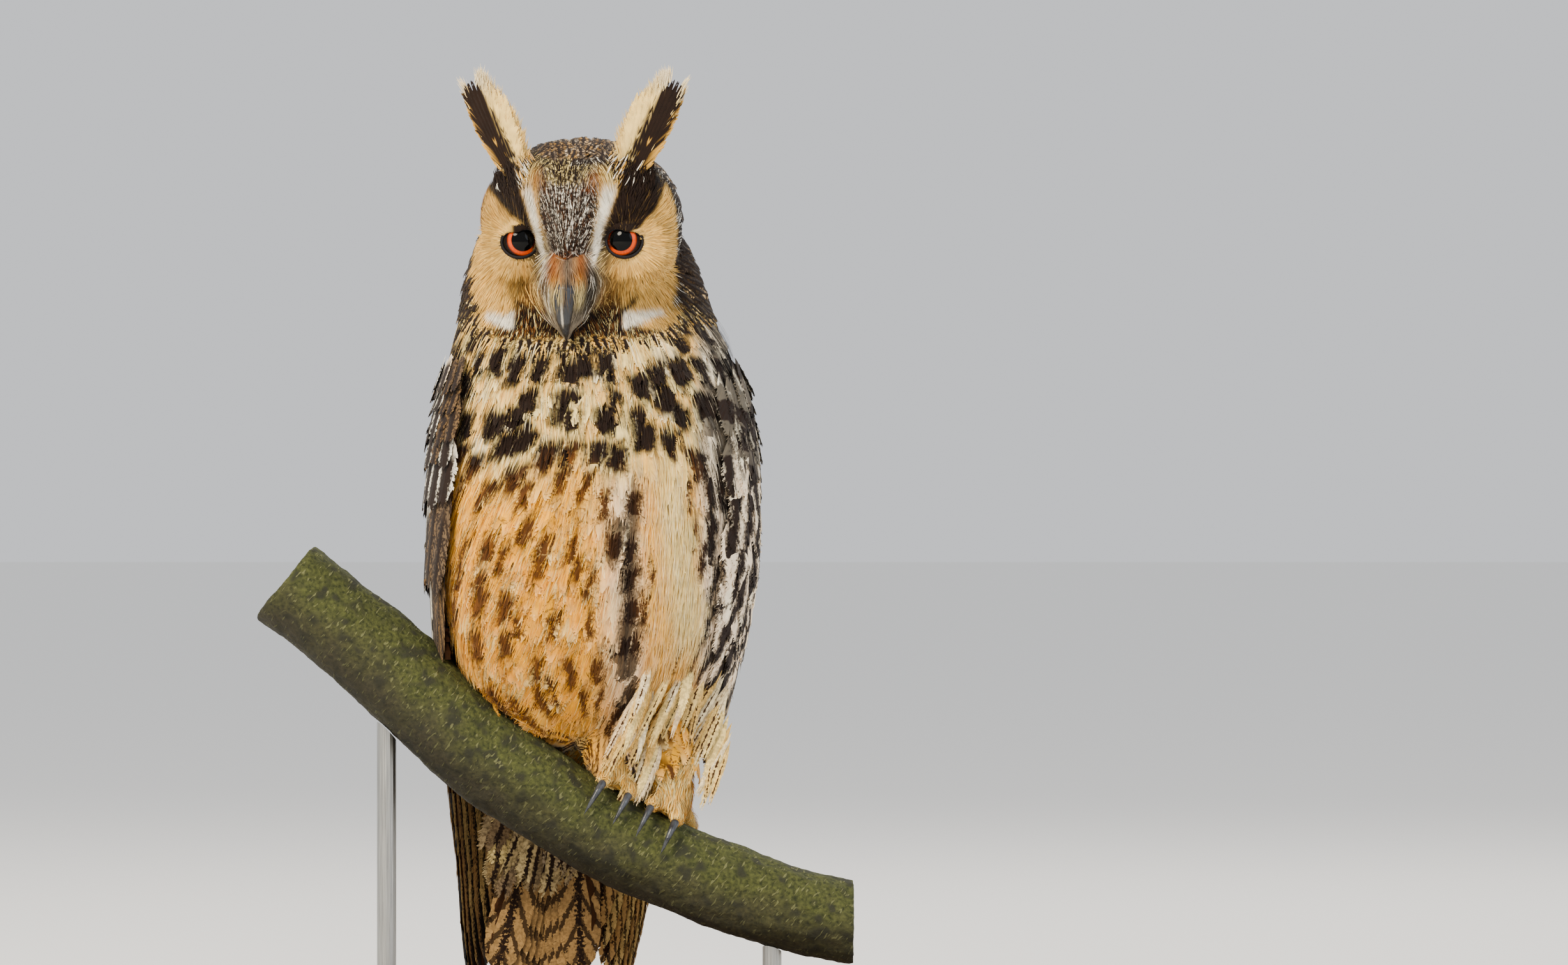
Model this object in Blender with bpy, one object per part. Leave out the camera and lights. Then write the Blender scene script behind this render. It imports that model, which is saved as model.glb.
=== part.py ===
"""A long-eared owl gripping a cut length of branch over a plain display stand, at life size.

Metres, +Z up, the owl facing -Y, the origin under the middle of the stand's base.
"""

import math
import random

import bmesh
import bpy
import numpy as np
from mathutils import Matrix, Vector

# Driving sizes
MM = 0.001
GAP = 0.3 * MM
BODY_YAW = math.radians(10)
HEAD_YAW = math.radians(-9)
HEAD_PITCH = math.radians(20)
HEAD_CENTRE = Vector((-4.8, -6, 355)) * MM
HEAD_RADII = Vector((42.5, 38, 35)) * MM
SQUARENESS = 2.2
HEAD_SQUARENESS = 2.3
HEAD_SEGMENTS, HEAD_RINGS = 40, 24

# Trunk sections: height, half width, front, back and middle, with the owl facing -Y
TRUNK = np.array([
    (366, 30, -8, 24, -4),
    (354, 42, -12, 33, -4),
    (342, 47, -17, 38, -3.5),
    (329, 52, -23, 42, -2.5),
    (319, 55.5, -29, 45, -2),
    (306, 58, -38, 48, -1),
    (285, 61, -49, 52, 0),
    (262, 64, -55, 55, 0),
    (235, 65, -56, 58, 0),
    (208, 64, -52, 59, 0),
    (184, 60, -44, 59, -0.5),
    (166, 54, -34, 57, -0.5),
    (154, 48, -22, 56, -0.5),
    (144, 41, -6, 54, -1),
    (134, 33, 16, 53, -3),
    (120, 26, 28, 51, -6),
    (104, 16, 33, 48, -7),
]) * MM

# The folded wings lie on these sections, which close round the tail below the trunk
FOLDED = np.array([
    (306, 58, -38, 48.5, -1),
    (285, 61.5, -49, 52.5, 0),
    (262, 64.5, -55, 55.5, 0),
    (235, 65.5, -56, 59, 0),
    (208, 65, -52, 61, 0),
    (184, 62, -42, 62, -0.5),
    (158, 58, -20, 64, -1),
    (130, 53, 14, 66, -3),
    (100, 42, 36, 69, -7),
    (65, 37, 46, 72, -9),
    (25, 31, 52, 75, -10),
]) * MM

# Branch: the middle of its cut length, as x and height, with its radius
BRANCH = np.array([
    (-128, 207, 19.5),
    (-112, 194, 19.5),
    (-88, 174, 20),
    (-55, 143, 20),
    (-20, 117, 19.5),
    (12, 98, 19),
    (45, 83, 18.5),
    (78, 72, 18),
    (108, 65, 17.5),
]) * MM

BASE_SIZE = Vector((290, 190, 15)) * MM
ROD_RADIUS = 4 * MM
ROD_X = {"stand_rod_high": -86 * MM, "stand_rod_low": 74 * MM}

EYE = Vector((21.8, -23.5, 0.5)) * MM
EYE_RADIUS = 9 * MM
FEET = {"right": -1 * MM, "left": 22 * MM}
SIDES = {"right": -1, "left": 1}

OWL = bpy.data.collections.new("long_eared_owl")
CUTTERS = bpy.data.collections.new("cutters")

COLOURS = {
    "plumage": ((0.55, 0.38, 0.20), 0.85, 0.0),
    "wing_plumage": ((0.30, 0.22, 0.15), 0.8, 0.0),
    "bill": ((0.05, 0.05, 0.055), 0.4, 0.0),
    "eye": ((0.75, 0.22, 0.02), 0.1, 0.0),
    "bark": ((0.16, 0.17, 0.08), 0.9, 0.0),
    "base": ((0.32, 0.22, 0.13), 0.5, 0.0),
    "rod": ((0.55, 0.55, 0.53), 0.35, 1.0),
}


def clear_scene():
    for obj in list(bpy.data.objects):
        bpy.data.objects.remove(obj)


def collection(name):
    made = bpy.data.collections.new(name)
    bpy.context.scene.collection.children.link(made)
    return made


def material(name):
    if name in bpy.data.materials:
        return bpy.data.materials[name]
    colour, roughness, metallic = COLOURS[name]
    made = bpy.data.materials.new(name)
    made.use_nodes = True
    shader = made.node_tree.nodes["Principled BSDF"]
    shader.inputs["Base Color"].default_value = (*colour, 1)
    shader.inputs["Roughness"].default_value = roughness
    shader.inputs["Metallic"].default_value = metallic
    return made


# Smooth curves through rows of sizes

def along(rows, at):
    """The row at a place in the first column, on a smooth curve through all the rows."""
    places = rows[:, 0]
    step = 1 if places[-1] > places[0] else -1
    i = int(np.clip(np.searchsorted(step * places, step * at) - 1, 0, len(rows) - 2))
    before, after = rows[max(i - 1, 0)], rows[min(i + 2, len(rows) - 1)]
    a, b = rows[i], rows[i + 1]
    span = b[0] - a[0]
    t = float(np.clip((at - a[0]) / span, 0, 1))
    slope_a = (b - before) / (b[0] - before[0]) * span
    slope_b = (after - a) / (after[0] - a[0]) * span
    made = (
        (2 * t**3 - 3 * t**2 + 1) * a
        + (t**3 - 2 * t**2 + t) * slope_a
        + (3 * t**2 - 2 * t**3) * b
        + (t**3 - t**2) * slope_b
    )
    return made[1:]


def rounded(value):
    """A sine or cosine pushed out so that a section is a little squarer than an ellipse."""
    return math.copysign(abs(value) ** (2 / SQUARENESS), value)


def section_point(rows, height, angle, lift=0.0):
    """A point round the trunk or the folded wings: angle 0 is in front, a quarter turn is the left side."""
    half_width, front, back, middle = along(rows, height)
    x = middle + (half_width + lift) * rounded(math.sin(angle))
    y = (front + back) / 2 - ((back - front) / 2 + lift) * rounded(math.cos(angle))
    return Matrix.Rotation(BODY_YAW, 3, "Z") @ Vector((x, y, height))


def section_radius(rows, height):
    half_width, front, back, _ = along(rows, height)
    return (half_width + (back - front) / 2) / 2


# Meshes and the operations on them

def new_object(name, points, faces, finish, into):
    mesh = bpy.data.meshes.new(name)
    mesh.from_pydata([tuple(p) for p in points], [], faces)
    mesh.materials.append(material(finish))
    obj = bpy.data.objects.new(name, mesh)
    into.objects.link(obj)
    return obj


def loft(name, rings, finish, into, slab=False):
    """A closed body through rings of equally many points. Each end is a fan, or a strip where it is a slab."""
    count = len(rings[0])
    points = [p for ring in rings for p in ring]
    faces = []
    for i in range(len(rings) - 1):
        for j in range(count):
            k = (j + 1) % count
            faces.append((i * count + j, i * count + k, (i + 1) * count + k))
            faces.append((i * count + j, (i + 1) * count + k, (i + 1) * count + j))
    for start, turned in ((0, True), ((len(rings) - 1) * count, False)):
        if slab:
            for j in range(count // 2 - 1):
                a, b, c, d = start + j, start + j + 1, start + count - 2 - j, start + count - 1 - j
                faces += [(a, c, b), (a, d, c)] if turned else [(a, b, c), (a, c, d)]
            continue
        middle = len(points)
        points.append(sum((Vector(points[start + j]) for j in range(count)), Vector()) / count)
        for j in range(count):
            edge = (start + j, start + (j + 1) % count)
            faces.append((*(reversed(edge) if turned else edge), middle))
    obj = new_object(name, points, faces, finish, into)
    outward(obj)
    return obj


def outward(obj):
    """Faces pointing out of the body."""
    shape = bmesh.new()
    shape.from_mesh(obj.data)
    bmesh.ops.recalc_face_normals(shape, faces=shape.faces)
    if shape.calc_volume(signed=True) < 0:
        bmesh.ops.reverse_faces(shape, faces=shape.faces)
    shape.to_mesh(obj.data)
    shape.free()


def inflated(obj, distance):
    """A helper copy of a body whose surface lies further out."""
    copy = bpy.data.objects.new(obj.name + "_cutter", obj.data.copy())
    CUTTERS.objects.link(copy)
    copy.hide_render = True
    copy.display_type = "WIRE"
    shape = bmesh.new()
    shape.from_mesh(copy.data)
    shape.normal_update()
    moves = [(v, v.co + v.normal * distance * v.calc_shell_factor()) for v in shape.verts]
    for vertex, place in moves:
        vertex.co = place
    shape.to_mesh(copy.data)
    shape.free()
    return copy


def boolean(obj, other, operation, solver="EXACT"):
    """Applies a Boolean with one object, or with a collection of closed bodies."""
    modifier = obj.modifiers.new(operation.title(), "BOOLEAN")
    modifier.operation = operation
    modifier.solver = solver
    if isinstance(other, bpy.types.Collection):
        modifier.operand_type = "COLLECTION"
        modifier.collection = other
    else:
        modifier.object = other
    graph = bpy.context.evaluated_depsgraph_get()
    result = bpy.data.meshes.new_from_object(obj.evaluated_get(graph))
    obj.modifiers.clear()
    obj.data = result


def keep_largest(obj):
    """Leaves only the closed surface that holds the most."""
    shape = bmesh.new()
    shape.from_mesh(obj.data)
    bmesh.ops.remove_doubles(shape, verts=shape.verts, dist=0.0005 * MM)
    left = set(shape.faces)
    pieces = []
    while left:
        front = [left.pop()]
        piece = list(front)
        while front:
            face = front.pop()
            for edge in face.edges:
                for near in edge.link_faces:
                    if near in left:
                        left.remove(near)
                        front.append(near)
                        piece.append(near)
        pieces.append(piece)

    def volume(piece):
        corners = [[v.co for v in face.verts] for face in piece]
        return abs(sum(c[0].dot(c[i].cross(c[i + 1])) for c in corners for i in range(1, len(c) - 1)))

    pieces.sort(key=volume)
    for piece in pieces[:-1]:
        bmesh.ops.delete(shape, geom=piece, context="FACES")
    loose = [v for v in shape.verts if not v.link_faces]
    bmesh.ops.delete(shape, geom=loose, context="VERTS")
    shape.to_mesh(obj.data)
    shape.free()


def fuse(obj, pieces):
    """Joins a collection of closed bodies to obj, then removes them."""
    boolean(obj, pieces, "UNION", "MANIFOLD")
    for piece in list(pieces.objects):
        bpy.data.objects.remove(piece)
    bpy.data.collections.remove(pieces)
    keep_largest(obj)


def cut(obj, *cutters, solver="MANIFOLD"):
    for cutter in cutters:
        boolean(obj, cutter, "DIFFERENCE", solver)
    keep_largest(obj)


def halved(obj, point, normal, name):
    """A copy of a closed body without what lies ahead of a plane, closed again on the plane."""
    copy = bpy.data.objects.new(name, obj.data.copy())
    OWL.objects.link(copy)
    trim(copy, point, normal)
    return copy


def trim(obj, point, normal):
    shape = bmesh.new()
    shape.from_mesh(obj.data)
    everything = shape.verts[:] + shape.edges[:] + shape.faces[:]
    bmesh.ops.bisect_plane(
        shape, geom=everything, plane_co=point, plane_no=normal, clear_outer=True, dist=1e-7
    )
    rim = [edge for edge in shape.edges if edge.is_boundary]
    bmesh.ops.triangle_fill(shape, edges=rim, use_beauty=True, use_dissolve=False, normal=normal)
    bmesh.ops.recalc_face_normals(shape, faces=shape.faces)
    shape.to_mesh(obj.data)
    shape.free()


# Feather vanes

LONG_VANE = (0.0, 0.3, 0.62, 0.88)
SHORT_VANE = (0.0, 0.5, 0.85)


def vane_width(t):
    """Width along a feather as a share of its widest: narrow at the root, round towards the tip."""
    return 0.45 + 0.55 * math.sin(min(t, 0.75) / 0.75 * math.pi / 2) - 2.2 * max(t - 0.75, 0) ** 1.2


def vane(name, place, root, tip, half_width, thickness, finish, into, bow=0.0, stations=LONG_VANE):
    """A feather on a surface: place(u, v, lift) gives a point, and root and tip hold u, v and lift."""
    root, tip = np.array(root), np.array(tip)
    points, faces = [], []
    for t in stations:
        u, v, lift = root + (tip - root) * t
        lift += bow * math.sin(math.pi * t)
        wide = half_width * vane_width(t)
        thin, deep = 0.3 * thickness, 0.6 * thickness
        for across, up in ((-wide, -thin), (0, -deep), (wide, -thin), (wide, thin), (0, deep), (-wide, thin)):
            points.append(place(u, v + across, lift + up))
    points.append(place(*tip))
    for i in range(len(stations) - 1):
        low, high = 6 * i, 6 * i + 6
        for a, b in ((0, 1), (1, 2)):
            faces += [(low + a, low + b, high + b), (low + a, high + b, high + a)]
            c, d = 5 - a, 5 - b
            faces += [(low + c, high + d, low + d), (low + c, high + c, high + d)]
        for a, b in ((2, 3), (5, 0)):
            faces += [(low + a, low + b, high + b), (low + a, high + b, high + a)]
    last, end = 6 * (len(stations) - 1), len(points) - 1
    faces += [(last + j, last + (j + 1) % 6, end) for j in range(6)]
    faces += [(0, 5, 4), (0, 4, 1), (1, 4, 3), (1, 3, 2)]
    obj = new_object(name, points, faces, finish, into)
    outward(obj)
    return obj


# Head

def from_head(point):
    """A point of the level head, taken to where the owl holds it."""
    turn = Matrix.Rotation(HEAD_YAW, 3, "Z") @ Matrix.Rotation(HEAD_PITCH, 3, "X")
    return HEAD_CENTRE + turn @ Vector(point)


# Facial forms in the level head, in millimetres
FACE_BACK, FACE_FADE = 4, 22
DISC_MIDDLE = (19, -2)
DISC_INWARD, DISC_OUTWARD, DISC_ABOVE, DISC_BELOW = 21, 23, 31, 34
DISH_DEPTH = 6.5
RIM_HEIGHT, RIM_AT, RIM_WIDTH = 2.4, 1.04, 0.13
RIM_GAP, RIM_IN_GAP = 7, 0.3
RIDGE_HEIGHT, RIDGE_HALF_WIDTH, RIDGE_SPREAD, RIDGE_REACH = 6.5, 8, 0.12, 22
BROW_HEIGHT, BROW_HALF_LENGTH, BROW_HALF_WIDTH = 4.2, 10, 4.5
BROW_MIDDLE, BROW_SLOPE = (19, 12), 0.12


def hill(offset, width):
    return math.exp(-((offset / width) ** 2))


def face_form(p):
    """Moves a point of the plain head to the face: dished disc lobes, their rims and the ridge between them."""
    x, y, z = (c / MM for c in p)
    if y > FACE_BACK:
        return p
    front = min(1.0, (FACE_BACK - y) / FACE_FADE)
    across, up = abs(x) - DISC_MIDDLE[0], z - DISC_MIDDLE[1]
    wide = DISC_OUTWARD if across > 0 else DISC_INWARD
    tall = DISC_ABOVE if up > 0 else DISC_BELOW
    disc = math.hypot(across / wide, up / tall)
    dish = DISH_DEPTH * max(0.0, 1 - disc**2)
    rim = RIM_HEIGHT * hill(disc - RIM_AT, RIM_WIDTH) * (1 if abs(x) > RIM_GAP else RIM_IN_GAP)
    ridge = RIDGE_HEIGHT * hill(x, RIDGE_HALF_WIDTH + RIDGE_SPREAD * max(z, 0)) * hill(up, RIDGE_REACH)
    along_brow = abs(x) - BROW_MIDDLE[0]
    over_brow = z - BROW_MIDDLE[1] - BROW_SLOPE * along_brow
    brow = BROW_HEIGHT * hill(along_brow, BROW_HALF_LENGTH) * hill(over_brow, BROW_HALF_WIDTH)
    normal = Vector(p[i] / HEAD_RADII[i] ** 2 for i in range(3)).normalized()
    moved = Vector((x, y, z)) + front * (rim * normal + Vector((0, dish - ridge - brow, 0)))
    return moved * MM


CROWD_FORWARD = 0.34  # how far the head's points crowd towards the face


def head_body():
    shape = bmesh.new()
    bmesh.ops.create_uvsphere(shape, u_segments=HEAD_SEGMENTS, v_segments=HEAD_RINGS, radius=1)
    for v in shape.verts:
        turn = math.atan2(v.co.x, -v.co.y)
        turn -= CROWD_FORWARD * math.sin(turn)
        wide = math.hypot(v.co.x, v.co.y) ** (2 / HEAD_SQUARENESS)
        level = Vector((wide * math.sin(turn), -wide * math.cos(turn), rounded(v.co.z)))
        plain = Vector((level[i] * HEAD_RADII[i] for i in range(3)))
        v.co = from_head(face_form(plain))
    mesh = bpy.data.meshes.new("head")
    shape.to_mesh(mesh)
    shape.free()
    mesh.materials.append(material("plumage"))
    obj = bpy.data.objects.new("head", mesh)
    OWL.objects.link(obj)
    outward(obj)
    return obj


def eye_centre(side):
    return Vector((side * EYE.x, EYE.y, EYE.z))


def ball(name, centre, radius, segments, rings, finish, into):
    shape = bmesh.new()
    bmesh.ops.create_uvsphere(shape, u_segments=segments, v_segments=rings, radius=radius)
    bmesh.ops.translate(shape, verts=shape.verts, vec=centre)
    mesh = bpy.data.meshes.new(name)
    shape.to_mesh(mesh)
    shape.free()
    mesh.materials.append(material(finish))
    obj = bpy.data.objects.new(name, mesh)
    into.objects.link(obj)
    return obj


LID_STEPS, LID_SIDES = 20, 5
LID_HALF_LENGTH, LID_RISE, LID_FALL = 7.4 * MM, 5.9 * MM, 6.9 * MM
LID_FORWARD, LID_THICKNESS, LID_DEPTH = 3.6 * MM, 1.4 * MM, 3.6 * MM
LID_FACING = (0.26, -0.96, -0.05)


def lid_ring(side, into):
    """The rim of the lids: a thin ring round the eye, pressed down at the top by the brow."""
    middle = eye_centre(side)
    look = Vector((side * LID_FACING[0], *LID_FACING[1:])).normalized()
    across = look.cross(Vector((0, 0, 1))).normalized()
    up = across.cross(look)
    points, faces = [], []
    for i in range(LID_STEPS):
        turn = i * math.tau / LID_STEPS
        rise = math.sin(turn) * (LID_RISE if math.sin(turn) > 0 else LID_FALL)
        hub = middle + look * LID_FORWARD + across * math.cos(turn) * LID_HALF_LENGTH + up * rise
        out = (across * math.cos(turn) + up * math.sin(turn)).normalized()
        for j in range(LID_SIDES):
            a = j * math.tau / LID_SIDES
            points.append(from_head(hub + out * math.cos(a) * LID_THICKNESS + look * math.sin(a) * LID_DEPTH))
            row, after = i * LID_SIDES, (i + 1) % LID_STEPS * LID_SIDES
            k = (j + 1) % LID_SIDES
            faces.append((row + j, row + k, after + k, after + j))
    obj = new_object("lid", points, faces, "plumage", into)
    outward(obj)


def tube(name, centres, radii, sides, finish, into, flat=1.0):
    """A body along a path of points, round or flattened, with an end point at its tip."""
    rings = []
    for i, centre in enumerate(centres):
        ahead = centres[min(i + 1, len(centres) - 1)] - centres[max(i - 1, 0)]
        side = ahead.cross(Vector((0, 1, 0.01)))
        if side.length < 1e-6:
            side = Vector((1, 0, 0))
        side.normalize()
        up = side.cross(ahead).normalized()
        rings.append([
            centre + side * math.cos(a) * radii[i] + up * math.sin(a) * radii[i] * flat
            for a in (k * math.tau / sides for k in range(sides))
        ])
    return loft(name, rings, finish, into)


BILL_SIDES = 10


def bill_piece(name, sections, into):
    """Half of the bill as a loft of oval sections along a path in the level head."""
    rings = []
    for i, (y, z, half_width, half_depth) in enumerate(sections):
        after, before = sections[min(i + 1, len(sections) - 1)], sections[max(i - 1, 0)]
        ahead = Vector((0, after[0] - before[0], after[1] - before[1])).normalized()
        up = Vector((1, 0, 0)).cross(ahead)
        ring = []
        for k in range(BILL_SIDES):
            a = k * math.tau / BILL_SIDES
            offset = Vector((half_width * math.cos(a), 0, 0)) + up * half_depth * math.sin(a)
            ring.append(from_head((Vector((0, y, z)) + offset) * MM))
        rings.append(ring)
    return loft(name, rings, "bill", into)


# Sections of the bill: the path of its middle as depth and height in the level head, half width and half depth
UPPER_BILL = np.array([
    (-36, -9, 5.6, 5.5),
    (-43, -10, 5.4, 5.3),
    (-48.5, -13.5, 4.8, 4.7),
    (-51.6, -19, 4.0, 3.9),
    (-52.4, -25, 2.9, 2.8),
    (-51.4, -30, 1.6, 1.6),
    (-49.6, -34, 0.3, 0.3),
])
LOWER_BILL = np.array([
    (-28, -20, 4.4, 2.4),
    (-36, -20.5, 4.2, 2.4),
    (-42, -22.5, 3.6, 2.2),
    (-45.6, -25.5, 2.4, 1.6),
    (-47.4, -28.6, 0.8, 0.5),
])
NOSTRIL, NOSTRIL_RADIUS = (5.0, -46, -11.5), 1.3 * MM


def build_bill(head):
    upper = bill_piece("bill_upper", UPPER_BILL, OWL)
    lower = bill_piece("bill_lower", LOWER_BILL, OWL)
    for side in SIDES.values():
        place = from_head(Vector((side * NOSTRIL[0], *NOSTRIL[1:])) * MM)
        nostril = ball("nostril", place, NOSTRIL_RADIUS, 8, 6, "bill", CUTTERS)
        nostril.hide_render = True
        cut(upper, nostril)
    shell = inflated(head, 2 * GAP)
    cut(upper, shell)
    cut(lower, shell, inflated(upper, GAP))
    return upper, lower


EYE_SEGMENTS, EYE_RINGS = 18, 12


def build_eyes(head):
    for name, side in SIDES.items():
        middle = from_head(eye_centre(side))
        socket = ball("socket", middle, EYE_RADIUS + 2 * GAP, EYE_SEGMENTS, EYE_RINGS, "eye", CUTTERS)
        socket.hide_render = True
        cut(head, socket)
        ball(f"eye_{name}", middle, EYE_RADIUS, EYE_SEGMENTS, EYE_RINGS, "eye", OWL)


# Ear tufts

TUFT_LENGTH = 44 * MM
TUFT_FEATHERS = 7
TUFT_ROOT = Vector((24, -12, 27)) * MM
TUFT_UP, TUFT_ACROSS = (0.40, 0.33, 0.86), (0.86, 0.20, -0.42)
TUFT_FAN = 19 * MM
TUFT_SHORTEST = 0.60


def mirrored(vector, side):
    return Vector((side * vector[0], vector[1], vector[2]))


def tuft_frame(side):
    up = mirrored(TUFT_UP, side).normalized()
    across = mirrored(TUFT_ACROSS, side)
    across = (across - up * across.dot(up)).normalized()
    return mirrored(TUFT_ROOT, side), up, across, across.cross(up) * side


def build_tuft(name, side, shell):
    root, up, across, ahead = tuft_frame(side)

    def place(u, v, lift):
        return from_head(root + up * u + across * v + ahead * lift)

    core_root, core_tip = (-5 * MM, 0, 0), (20 * MM, 1 * MM, 0)
    core = vane(f"ear_tuft_{name}", place, core_root, core_tip, 5.5 * MM, 4 * MM, "wing_plumage", OWL)
    vanes = collection("tuft_vanes")
    for i in range(TUFT_FEATHERS):
        share = i / (TUFT_FEATHERS - 1)
        rise = math.sin(math.pi * (0.12 + 0.55 * share))
        length = TUFT_LENGTH * (TUFT_SHORTEST + (1 - TUFT_SHORTEST) * rise)
        spread = (share - 0.62) * TUFT_FAN
        start = (-4 * MM, (share - 0.5) * 5 * MM, (1 - 2 * share) * MM)
        end = (length, spread + 1.5 * MM, (1.5 - 3.0 * share) * MM)
        vane("vane", place, start, end, 4.2 * MM, 1.0 * MM, "wing_plumage", vanes, bow=0.8 * MM)
    fuse(core, vanes)
    cut(core, shell)


# Trunk

TRUNK_SECTIONS, TRUNK_SIDES = 17, 30


def build_trunk():
    rings = [
        [section_point(TRUNK, h, k * math.tau / TRUNK_SIDES) for k in range(TRUNK_SIDES)]
        for h in np.linspace(TRUNK[0, 0], TRUNK[-1, 0], TRUNK_SECTIONS)
    ]
    return loft("torso", rings, "plumage", OWL)


# Neck planes: a point of each on the middle line, and the way up out of the trunk
HEAD_SEAM = (Vector((0, -6, 320)) * MM, Vector((0, -0.28, 1)).normalized())
NECK_SEAM = (Vector((0, -4, 300)) * MM, Vector((0, -0.16, 1)).normalized())
VENT_SEAM = (Vector((0, 40, 121)) * MM, Vector((0, 0.2, -1)).normalized())


def part_body(head, torso):
    """Joins head and trunk, then parts them again at the neck and the vent with thin cuts."""
    boolean(torso, head, "UNION", "MANIFOLD")
    keep_largest(torso)
    bpy.data.objects.remove(head)
    whole = torso
    whole.name = "whole"
    half = GAP / 2
    head_at, head_up = HEAD_SEAM
    neck_at, neck_up = NECK_SEAM
    vent_at, vent_down = VENT_SEAM
    head = halved(whole, head_at + head_up * half, -head_up, "head")
    neck = halved(whole, head_at - head_up * half, head_up, "neck")
    trim(neck, neck_at + neck_up * half, -neck_up)
    torso = halved(whole, neck_at - neck_up * half, neck_up, "torso")
    vent = halved(torso, vent_at + vent_down * half, -vent_down, "tail")
    trim(torso, vent_at - vent_down * half, vent_down)
    for obj in (head, neck, torso, vent):
        keep_largest(obj)
    return whole, head, neck, torso, vent


# Wings

WING_EDGES = np.array([(306, 84, 150), (262, 80, 158), (208, 90, 166), (172, 100, 168), (140, 110, 168)])
WRIST_FORWARD = {"right": 14, "left": 0}


def wing_edges(name, height):
    """Angles of the folded wing's front and back edges at a height: the flank feathers hide more of one."""
    front, back = along(WING_EDGES * np.array((MM, 1, 1)), height)
    return math.radians(front - WRIST_FORWARD[name]), math.radians(back)


WING_TIERS = (
    # root height, length, root lift, tip lift and half width, from the lesser coverts down to the secondaries
    (291, 32, 1.2, 4.2, 8.5),
    (271, 38, 1.0, 4.0, 8.5),
    (248, 52, 0.6, 3.6, 9.0),
    (216, 92, 0.2, 3.0, 9.5),
)
TIER_FEATHERS = 6
PRIMARIES = 6
PRIMARY_ROOT, PRIMARY_TIP = 196, 28
PRIMARY_STEP = 1.4 * MM
CORE_TOP, CORE_LOW, CORE_ROWS, CORE_STEPS = 294 * MM, 146 * MM, 9, 6
CORE_THICKNESS, CORE_LIFT, CORE_DEPTH = 2.4 * MM, 1.1 * MM, 3.5 * MM


def build_wing(name, side, cutters):
    vary = random.Random(f"wing_{name}")

    def place(u, v, lift):
        angle = v / section_radius(FOLDED, u)
        return section_point(FOLDED, u, side * angle, lift)

    rings = []
    for i, h in enumerate(np.linspace(CORE_TOP, CORE_LOW, CORE_ROWS)):
        front, back = wing_edges(name, h)
        thick = CORE_THICKNESS * math.sin(math.pi * (0.08 + 0.84 * i / (CORE_ROWS - 1)))
        outer, inner = [], []
        for k in range(CORE_STEPS + 1):
            share = k / CORE_STEPS
            angle = side * (front + (back - front) * share)
            lift = thick * math.sin(math.pi * (0.1 + 0.8 * share)) + CORE_LIFT
            outer.append(section_point(FOLDED, h, angle, lift))
            inner.append(section_point(FOLDED, h, angle, -CORE_DEPTH))
        rings.append(outer + inner[::-1])
    core = loft(f"wing_{name}", rings, "wing_plumage", OWL, slab=True)
    vanes = collection("wing_vanes")
    for root, length, root_lift, tip_lift, half_width in WING_TIERS:
        for k in range(TIER_FEATHERS):
            share = (k + 0.5) / TIER_FEATHERS
            top = (root + vary.uniform(-1.5, 1.5)) * MM
            low = top - length * (1 - 0.16 * abs(share - 0.55) + vary.uniform(-0.05, 0.05)) * MM
            front, back = wing_edges(name, top)
            start = front + (back - front) * share
            front, back = wing_edges(name, low)
            end = front + (back - front) * (0.04 + 0.92 * share)
            at_root = (top, start * section_radius(FOLDED, top), root_lift * MM)
            lift = (tip_lift + vary.uniform(-0.2, 0.3)) * MM
            at_tip = (low, end * section_radius(FOLDED, low), lift)
            wide = half_width * vary.uniform(0.94, 1.06) * MM
            vane("vane", place, at_root, at_tip, wide, 1.4 * MM, "wing_plumage", vanes, stations=SHORT_VANE)
    for k in range(PRIMARIES):
        share = k / (PRIMARIES - 1)
        root = (PRIMARY_ROOT * MM, math.radians(122 + 26 * share), (0.9 - 2.8 * share) * MM)
        tip_height = (PRIMARY_TIP + 41.6 * abs(share - 0.25) ** 1.3) * MM
        tip = (tip_height, math.radians(101 + 40 * share), 1.2 * MM - PRIMARY_STEP * k)
        primary(side, root, tip, vanes)
    fuse(core, vanes)
    cut(core, *cutters)


def primary(side, root, tip, into):
    """A long flight feather that bends round the tail. Root and tip hold a height, an angle and a lift."""
    def place(u, v, lift):
        share = (u - root[0]) / (tip[0] - root[0])
        angle = root[1] + (tip[1] - root[1]) * share**0.7
        return section_point(FOLDED, u, side * (angle + v / section_radius(FOLDED, u)), lift)

    vane("vane", place, (root[0], 0, root[2]), (tip[0], 0, tip[2]), 9 * MM, 0.9 * MM, "wing_plumage", into)


# Tail

TAIL_TIP = 34 * MM
TAIL_PAIRS = 6
TAIL_STEP = 1.45 * MM
TAIL_LEAN = 0.10
TAIL_MIDDLE, TAIL_BACK, TAIL_FROM = -6 * MM, 56 * MM, 140 * MM


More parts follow.
